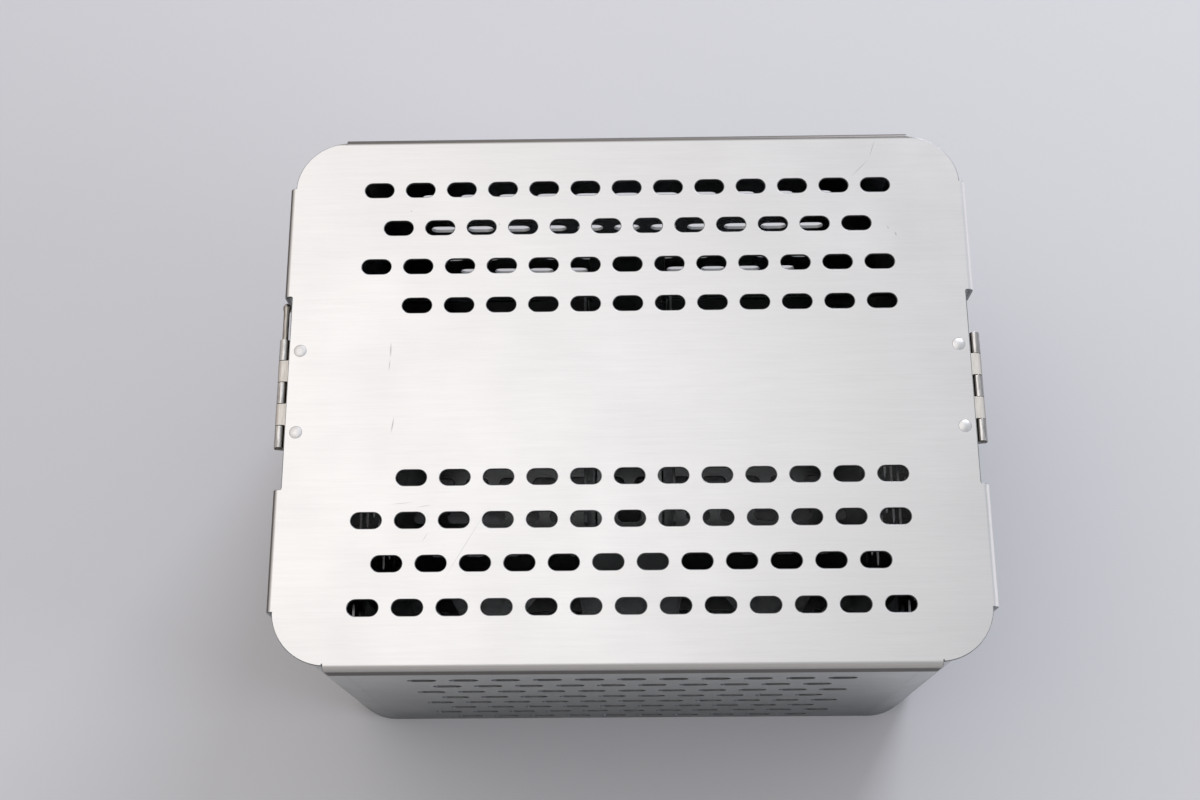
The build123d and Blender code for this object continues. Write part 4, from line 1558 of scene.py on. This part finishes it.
@dataclass
class LatchHinge:
    """Hinge leaf under the lid, pin, and the latch plate that hangs from it."""

    sheet: float = 0.8
    curl_radius: float = 1.8
    curl: float = 285.0
    curl_steps: int = 18
    knuckle: float = 10.16
    knuckle_gap: float = 0.1
    slack: float = 0.15
    edge: float = 0.12
    leaf_reach: float = 14.4
    leaf_edge: float = -2.5
    leaf_corners: tuple[float, ...] = (1.5, 0.5, 0.4, 0.2, 0.2, 0.4)
    latch_corners: tuple[float, ...] = (3.0, 0.3, 0.3, 0.5, 0.5, 0.2, 0.2, 2.0, 0.2, 0.2, 0.5, 0.5, 0.2)
    plate_top: float = -2.6
    plate_bottom: float = -34.6
    hook_level: float = 37.6
    hook_bend: float = 0.9
    hook_reach: float = 1.8
    hook_range: Pair = (9.0, 16.0)
    tip_half_width: float = 16.5
    tab_half_width: float = 8.0
    tab_knee: float = 40.2
    tab_bend: float = 4.0
    tab_flare: float = 3.5
    tab_length: float = 9.0
    release: float = 6.0
    pin_radius: float = 1.35
    tail: float = 16.6
    knob_leg: float = 6.0
    knob_bend: float = 1.9
    knob_swell: Triple = (1.5, 1.9, 0.5)

    def __post_init__(self) -> None:
        """Take the hinge axis from the frame."""
        low, high = cad_box("right_hinge_pin")
        self.axis_x, self.axis_z = float((low[0] + high[0]) / 2), float((low[2] + high[2]) / 2)
        self.half_barrel = float(high[1])
        self.first = self.knuckle / 2
        self.second = 1.5 * self.knuckle

    def leaf(self, holes: np.ndarray) -> Surface:
        """Leaf blank, its length counted from the axis, with two curled knuckles.

        Args:
            holes: Centres of its rivet holes in the blank.

        Returns:
            The curled sheet.
        """
        inner, outer = self.first + self.knuckle_gap, self.second - self.knuckle_gap
        span = (inner - self.slack, outer + self.slack)
        fold = Fold(1, 1, 0.0, self.curl_radius, -self.curl, span, self.curl_steps)
        tip = fold.arc + 0.3
        half = [(self.half_barrel, -self.leaf_reach), (self.half_barrel, self.leaf_edge),
                (outer, self.leaf_edge), (outer, tip), (inner, tip), (inner, self.leaf_edge)]
        outline = symmetrical(half, self.leaf_corners, steps=4)
        cut = circles(holes, SHANK, steps=16)
        return Sheet(outline, cut, self.sheet, self.edge, edge_steps=2, folds=[fold]).surface()

    def latch(self) -> Surface:
        """Latch blank, its heights counted from the axis: knuckles above, hooks and a finger tab below.

        Returns:
            The folded sheet, hanging straight down.
        """
        inner, outer = self.second + self.knuckle_gap, self.half_barrel - self.knuckle_gap
        middle = self.first - self.knuckle_gap
        flare = math.degrees(math.atan2(self.tab_flare, self.tab_length))
        knee = self.tab_bend * math.tan(math.radians(flare) / 2)
        hook_low, hook_high = self.hook_range
        spans = [(0, middle + self.slack), (inner - self.slack, outer + self.slack)]
        curls = [Fold(1, 1, 0.0, self.curl_radius, -self.curl, reach, self.curl_steps) for reach in spans]
        hook_span = (hook_low - 2 * self.slack, hook_high + 2 * self.slack)
        hook = Fold(1, -1, self.hook_level - self.hook_bend, self.hook_bend, -90, hook_span, steps=6)
        tab_span = (0, self.tab_half_width + 2 * self.slack)
        tab = Fold(1, -1, self.tab_knee - knee, self.tab_bend, flare, tab_span, steps=5)
        tip = curls[0].arc + 0.3
        hook_tip = -hook.start - hook.arc - self.hook_reach
        tab_tip = -tab.start - tab.arc - math.hypot(self.tab_flare, self.tab_length) + knee
        half = [(self.tab_half_width, tab_tip), (self.tab_half_width, self.plate_bottom),
                (hook_low, self.plate_bottom), (hook_low, hook_tip), (hook_high, hook_tip),
                (hook_high, self.plate_bottom), (self.tip_half_width, self.plate_bottom),
                (outer, self.plate_top), (outer, tip), (inner, tip), (inner, self.plate_top),
                (middle, self.plate_top), (middle, tip)]
        outline = symmetrical(half, self.latch_corners, steps=4)
        folds = [*curls, hook, tab]
        return Sheet(outline, [], self.sheet, self.edge, edge_steps=2, folds=folds).surface()

    def pin(self, end: End) -> Surface:
        """Pin along the barrel; the left one has a tail that ends in a bent knob.

        Args:
            end: End at which it stands.

        Returns:
            The pin in its place.
        """
        stretches, swell = ((2 * self.half_barrel, 0.0),), (0.0, 1.0, 0.0)
        if end is End.LEFT:
            bend = self.knob_bend
            run = 2 * self.half_barrel + self.tail - bend
            stretches = ((run, 0.0), (bend * QUARTER, -QUARTER), (self.knob_leg - bend, 0.0))
            past, spread, height = self.knob_swell
            swell = (run + past, spread, height)
        line = BentLine(stretches, start=(-self.half_barrel, 0.0))
        return wire(line, self.pin_radius, (end.value * self.axis_x, 0, self.axis_z), step=0.8, swell=swell)

    def build(self, finishes: Finishes, lid: Lid) -> None:
        """Make the leaf, the latch and the pin of each end.

        Args:
            finishes: Finishes of the container.
            lid: Lid that the leaves are riveted to.
        """
        rivets = lid.rivet_places(End.RIGHT)
        holes = np.stack([rivets[:, 1], rivets[:, 0] - self.axis_x], axis=1)
        leaf = self.leaf(holes).stood(Facing.UP_ACROSS, (self.axis_x, 0, self.axis_z + self.curl_radius))
        latch = self.latch().stood(Facing.RIGHT, (self.axis_x + self.curl_radius, 0, self.axis_z))
        latch = latch.swung(self.release, (self.axis_x, self.axis_z))
        for end in End:
            word = end.word
            leaf.at_end(end).piece(f"{word}_leaf_sheet", "lid", finishes.leaf, f"{word}_hinge_leaf")
            latch.at_end(end).piece(f"{word}_latch_sheet", f"{word}_latch", finishes.latch, f"{word}_latch")
            self.pin(end).piece(f"{word}_pin_wire", "lid", finishes.pin, f"{word}_hinge_pin")


@dataclass
class Rack:
    """Instrument rack that stands in the base: two uprights, two partitions and two cross plates."""

    slots: Perforation
    sheet: float = 1.2
    bend: float = 1.8
    foot: float = 12.0
    rim: float = 7.0
    edge: float = 0.15
    plate_corner: float = 1.0
    step_corner: float = 0.8
    centre_half: float = 17.5
    partition_step: float = 10.8
    bay_top: float = 132.0
    slit: float = 0.3
    end_margin: float = 12.0
    window_inset: float = 6.0
    window: Triple = (32.0, 16.0, 74.0)
    sill: float = 26.0
    window_corner: float = 6.0
    vent: Triple = (76.0, 10.0, 92.0)
    whole: float = 400.0
    bend_steps: int = 6

    def __post_init__(self) -> None:
        """Take the rack's sizes from the frame."""
        low, high = cad_box("rack_right_upright")
        self.end_x = float(low[0]) + self.sheet
        self.end_top = float(high[2])
        self.reach = float(high[1])
        self.seat = float(low[2])
        outer, _, self.partition_top = cad_box("rack_right_partition")[1]
        self.partition_x = outer - self.sheet / 2
        self.cross_y = cad_box("rack_back_plate")[0][1] + self.sheet / 2

    def foot_fold(self) -> Fold:
        """Bend of a foot towards the sheet's face, heights counted from the floor."""
        start = -(self.seat + self.sheet / 2 + self.bend)
        return Fold(1, -1, start, self.bend, 90, (0, self.whole), self.bend_steps)

    def foot_tip(self, length: float) -> float:
        """Lowest coordinate of a blank whose foot reaches a length from the sheet's middle."""
        fold = self.foot_fold()
        return -fold.start - fold.arc - (length - self.bend)

    def upright(self, rows: np.ndarray) -> Surface:
        """Perforated end of the rack.

        Args:
            rows: Heights of its slot rows.

        Returns:
            The sheet with its foot bent.
        """
        tip = self.foot_tip(self.foot + self.sheet / 2)
        outline = symmetrical([(self.reach, tip), (self.reach, self.end_top)], self.plate_corner, steps=3)
        centres = self.slots.grid(rows, self.reach, self.end_margin)
        centres = centres[centres[:, 1] + self.slots.width < self.end_top]
        holes, folds = self.slots.holes(centres, steps=7), [self.foot_fold()]
        return Sheet(outline, holes, self.sheet, self.edge, edge_steps=1, folds=folds).surface()

    def partition(self) -> Surface:
        """Tall partition with a foot, its top stepped down beside the cross plates.

        Returns:
            The sheet with its foot bent.
        """
        tip = self.foot_tip(self.foot - self.sheet / 2)
        narrow = self.reach - self.partition_step
        half = [(self.reach, tip), (self.reach, self.bay_top), (narrow, self.bay_top),
                (narrow, self.partition_top)]
        outline, folds = symmetrical(half, self.plate_corner, steps=3), [self.foot_fold()]
        return Sheet(outline, [], self.sheet, self.edge, edge_steps=1, folds=folds).surface()

    def cross_plate(self) -> Surface:
        """Cross plate with a foot, top rims over the bays and a raised middle.

        Returns:
            The sheet with its foot and rims bent.
        """
        wide = self.end_x
        rim_start = self.bay_top - self.sheet / 2 - self.bend
        bay_span = (self.centre_half + self.slit / 2, wide + 0.5)
        bay = Fold(1, 1, rim_start, self.bend, 90, bay_span, self.bend_steps)
        rim_tip = rim_start + bay.arc + self.rim + self.sheet / 2 - self.bend
        side = self.centre_half + self.slit
        half = [(wide, self.foot_tip(self.foot + self.sheet / 2)), (wide, rim_tip), (side, rim_tip),
                (side, rim_start - self.slit), (self.centre_half, rim_start - self.slit),
                (self.centre_half, self.partition_top)]
        corner = self.plate_corner
        outline = symmetrical(half, [corner, corner, self.step_corner, 0.0, 0.0, corner], steps=3)
        wide_sill, wide_top, tall = self.window
        inner = self.partition_x + self.window_inset
        sill = self.seat + self.sill
        head = sill + tall
        window = np.array([(inner, sill), (inner, head), (inner + wide_top, head), (inner + wide_sill, sill)])
        window = rounded(window, self.window_corner, steps=6)
        offset, width, height = self.vent
        vent_centre = np.array([(self.partition_x + offset, sill + height / 2)])
        vent = stadiums(vent_centre, height, width, steps=8, upright=True)[0]
        holes = [window, vent, window[::-1] * (-1, 1), vent[::-1] * (-1, 1)]
        folds = [self.foot_fold(), bay]
        return Sheet(outline, holes, self.sheet, self.edge, edge_steps=1, folds=folds).surface()

    def rivet_places(self) -> list[Pair]:
        """Rivets through the feet, read from the grid between the slot rows.

        Returns:
            Places on the floor, as X and Y.
        """
        pitch, middle = self.slots.pitch, self.foot / 2
        places = [(side * x, row * pitch) for x in (self.end_x + middle, self.partition_x - middle)
                  for row in (-2, 0, 2) for side in (-1, 1)]
        foot_y = self.cross_y + self.sheet / 2 + middle
        return places + [(side * column * pitch, back * foot_y) for column in (2.5, 5.5)
                         for back in (-1, 1) for side in (-1, 1)]

    def build(self, finishes: Finishes, rows: np.ndarray) -> None:
        """Make the six sheets and the rivets under the floor.

        Args:
            finishes: Finishes of the container.
            rows: Heights of the slot rows of the walls.
        """
        upright = self.upright(rows).stood(Facing.RIGHT, (self.end_x - self.sheet / 2, 0, 0))
        partition = self.partition().stood(Facing.LEFT, (self.partition_x, 0, 0))
        for end in End:
            word = end.word
            upright.at_end(end).piece(f"rack_{word}_upright_sheet", "base", finishes.rack,
                                      f"rack_{word}_upright")
            partition.at_end(end).piece(f"rack_{word}_partition_sheet", "base", finishes.bay,
                                        f"rack_{word}_partition")
        cross = self.cross_plate()
        back = cross.stood(Facing.BACK, (0, self.cross_y, 0))
        front = cross.stood(Facing.FRONT, (0, -self.cross_y, 0))
        back.piece("rack_back_sheet", "base", finishes.bay, "rack_back_plate")
        front.piece("rack_front_sheet", "base", finishes.bay, "rack_front_plate")
        profile = [(0, 3.9), (TAIL - 0.2, 3.9), (TAIL, 3.7), (TAIL, 2.8), (SHANK, 2.8), (SHANK, 1.25),
                   (2.85, 0.12), (2.73, 0), (0, 0)]
        rivet = turned_part(profile, segments=16)
        rivets = together([rivet.stood(Facing.UP, (x, y, 0)) for x, y in self.rivet_places()])
        rivets.piece("rack_rivet_set", "base", finishes.rivet, "rack_rivets")


# ---------------------------------------------------------------------------
# Studio
# ---------------------------------------------------------------------------
@dataclass(frozen=True)
class SoftBox:
    """Square lamp that points at the container.

    Attributes:
        name: Name of the lamp.
        place: Place in metres.
        size: Side in metres.
        power: Power in watts.
        colour: Colour of its light.
    """

    name: str
    place: Triple
    size: float
    power: float
    colour: str = "#ffffff"

    def build(self, target: np.ndarray) -> None:
        """Make the lamp and turn its back away from the target: a tilt, then a turn about Z.

        Args:
            target: Place that it points at, in metres.
        """
        lamp = bpy.data.lights.new(self.name, "AREA")
        lamp.size, lamp.energy, lamp.color = self.size, self.power, linear(self.colour)[:3]
        thing = bpy.data.objects.new(self.name, lamp)
        thing.location = self.place
        x, y, z = np.array(self.place) - target
        thing.rotation_euler = (0.0, math.atan2(math.hypot(x, y), z), math.atan2(y, x))
        bpy.context.scene.collection.objects.link(thing)


@dataclass
class Studio:
    """Plain pale floor, soft light and the camera above the front edge."""

    floor_colour: str = "#dbdcdf"
    floor_roughness: float = 0.9
    floor_half: float = 3.0
    air_left: str = "#fcf3ef"
    air_right: str = "#f0f2f8"
    air_blend: float = 0.35
    air_strength: float = 0.368
    air_slope: Triple = (-0.4, 0.85, 0.75)
    camera_place: Triple = (-0.774, -222.99, 870.18)
    camera_turn: Triple = (17.957, 1.108, -0.256)
    lens: float = 47.875
    sensor: float = 36.0
    aim: Triple = (0.0, 0.0, 0.1)
    lamps: tuple[SoftBox, ...] = (
        SoftBox("back_box", (1.0, 2.3, 1.0), 1.0, 42.0, "#f2f4ff"),
        SoftBox("left_box", (-0.55, 0.3, 2.0), 1.6, 4.8),
        SoftBox("front_right_box", (2.0, -0.5, 1.0), 0.8, 10.0, "#eef1fb"),
    )

    def floor(self) -> None:
        """Make the square floor, which is stage and not part of the container."""
        mesh = bpy.data.meshes.new("floor")
        corners = self.floor_half * np.array([(-1, -1, 0), (1, -1, 0), (1, 1, 0), (-1, 1, 0)])
        mesh.from_pydata(corners.tolist(), [], [(0, 1, 2, 3)])
        floor = bpy.data.objects.new("floor", mesh)
        bpy.context.scene.collection.objects.link(floor)
        mesh.materials.append(new_material("floor_cloth", 0.0, self.floor_roughness, self.floor_colour)[0])

    def air(self) -> None:
        """Make the air's own light: slope * heading + 1 times a strength, warmer at the left."""
        world = bpy.data.worlds.new("air")
        world.use_nodes = True
        tree = world.node_tree
        background = tree.nodes["Background"]
        heading = add_node(tree, "ShaderNodeTexCoord").outputs["Generated"]
        sideways = add_node(tree, "ShaderNodeSeparateXYZ", {}, {0: heading}).outputs[0]
        share = add_node(tree, "ShaderNodeMapRange", ramp(-self.air_blend, self.air_blend),
                         {"Value": sideways}).outputs[0]
        tree.links.new(blended(tree, share, self.air_left, self.air_right), background.inputs["Color"])
        rise = {"operation": "DOT_PRODUCT", 1: self.air_slope}
        slope = add_node(tree, "ShaderNodeVectorMath", rise, {0: heading}).outputs["Value"]
        strength = {"operation": "MULTIPLY_ADD", 1: self.air_strength, 2: self.air_strength}
        level = add_node(tree, "ShaderNodeMath", strength, {0: slope}).outputs[0]
        lit = add_node(tree, "ShaderNodeMath", {"operation": "MAXIMUM", 1: 0.0}, {0: level}).outputs[0]
        tree.links.new(lit, background.inputs["Strength"])
        bpy.context.scene.world = world

    def camera(self) -> None:
        """Make the camera above the front edge."""
        scene = bpy.context.scene
        camera = bpy.data.cameras.new("camera")
        camera.sensor_fit, camera.sensor_width, camera.lens = "HORIZONTAL", self.sensor, self.lens
        thing = bpy.data.objects.new("camera", camera)
        thing.location = np.array(self.camera_place) * MM
        thing.rotation_euler = [math.radians(angle) for angle in self.camera_turn]
        scene.collection.objects.link(thing)
        scene.camera = thing

    def build(self) -> None:
        """Make the floor, the air's own light, the lamps and the camera."""
        self.floor()
        self.air()
        for lamp in self.lamps:
            lamp.build(np.array(self.aim))
        bpy.context.scene.view_settings.view_transform = "Standard"
        self.camera()


def main() -> None:
    """Build the studio and then the container, from the base up to the lid."""
    logging.basicConfig(level=logging.INFO, format="%(message)s")
    Studio().build()
    finishes = Finishes.built()
    slots = Perforation()
    base, bracket, lid = Base(slots), Bracket(), Lid(slots)
    base.build(finishes, bracket)
    bracket.build(finishes)
    Rack(slots).build(finishes, base.rows())
    lid.build(finishes)
    LatchHinge().build(finishes, lid)


if __name__ == "__main__":
    main()
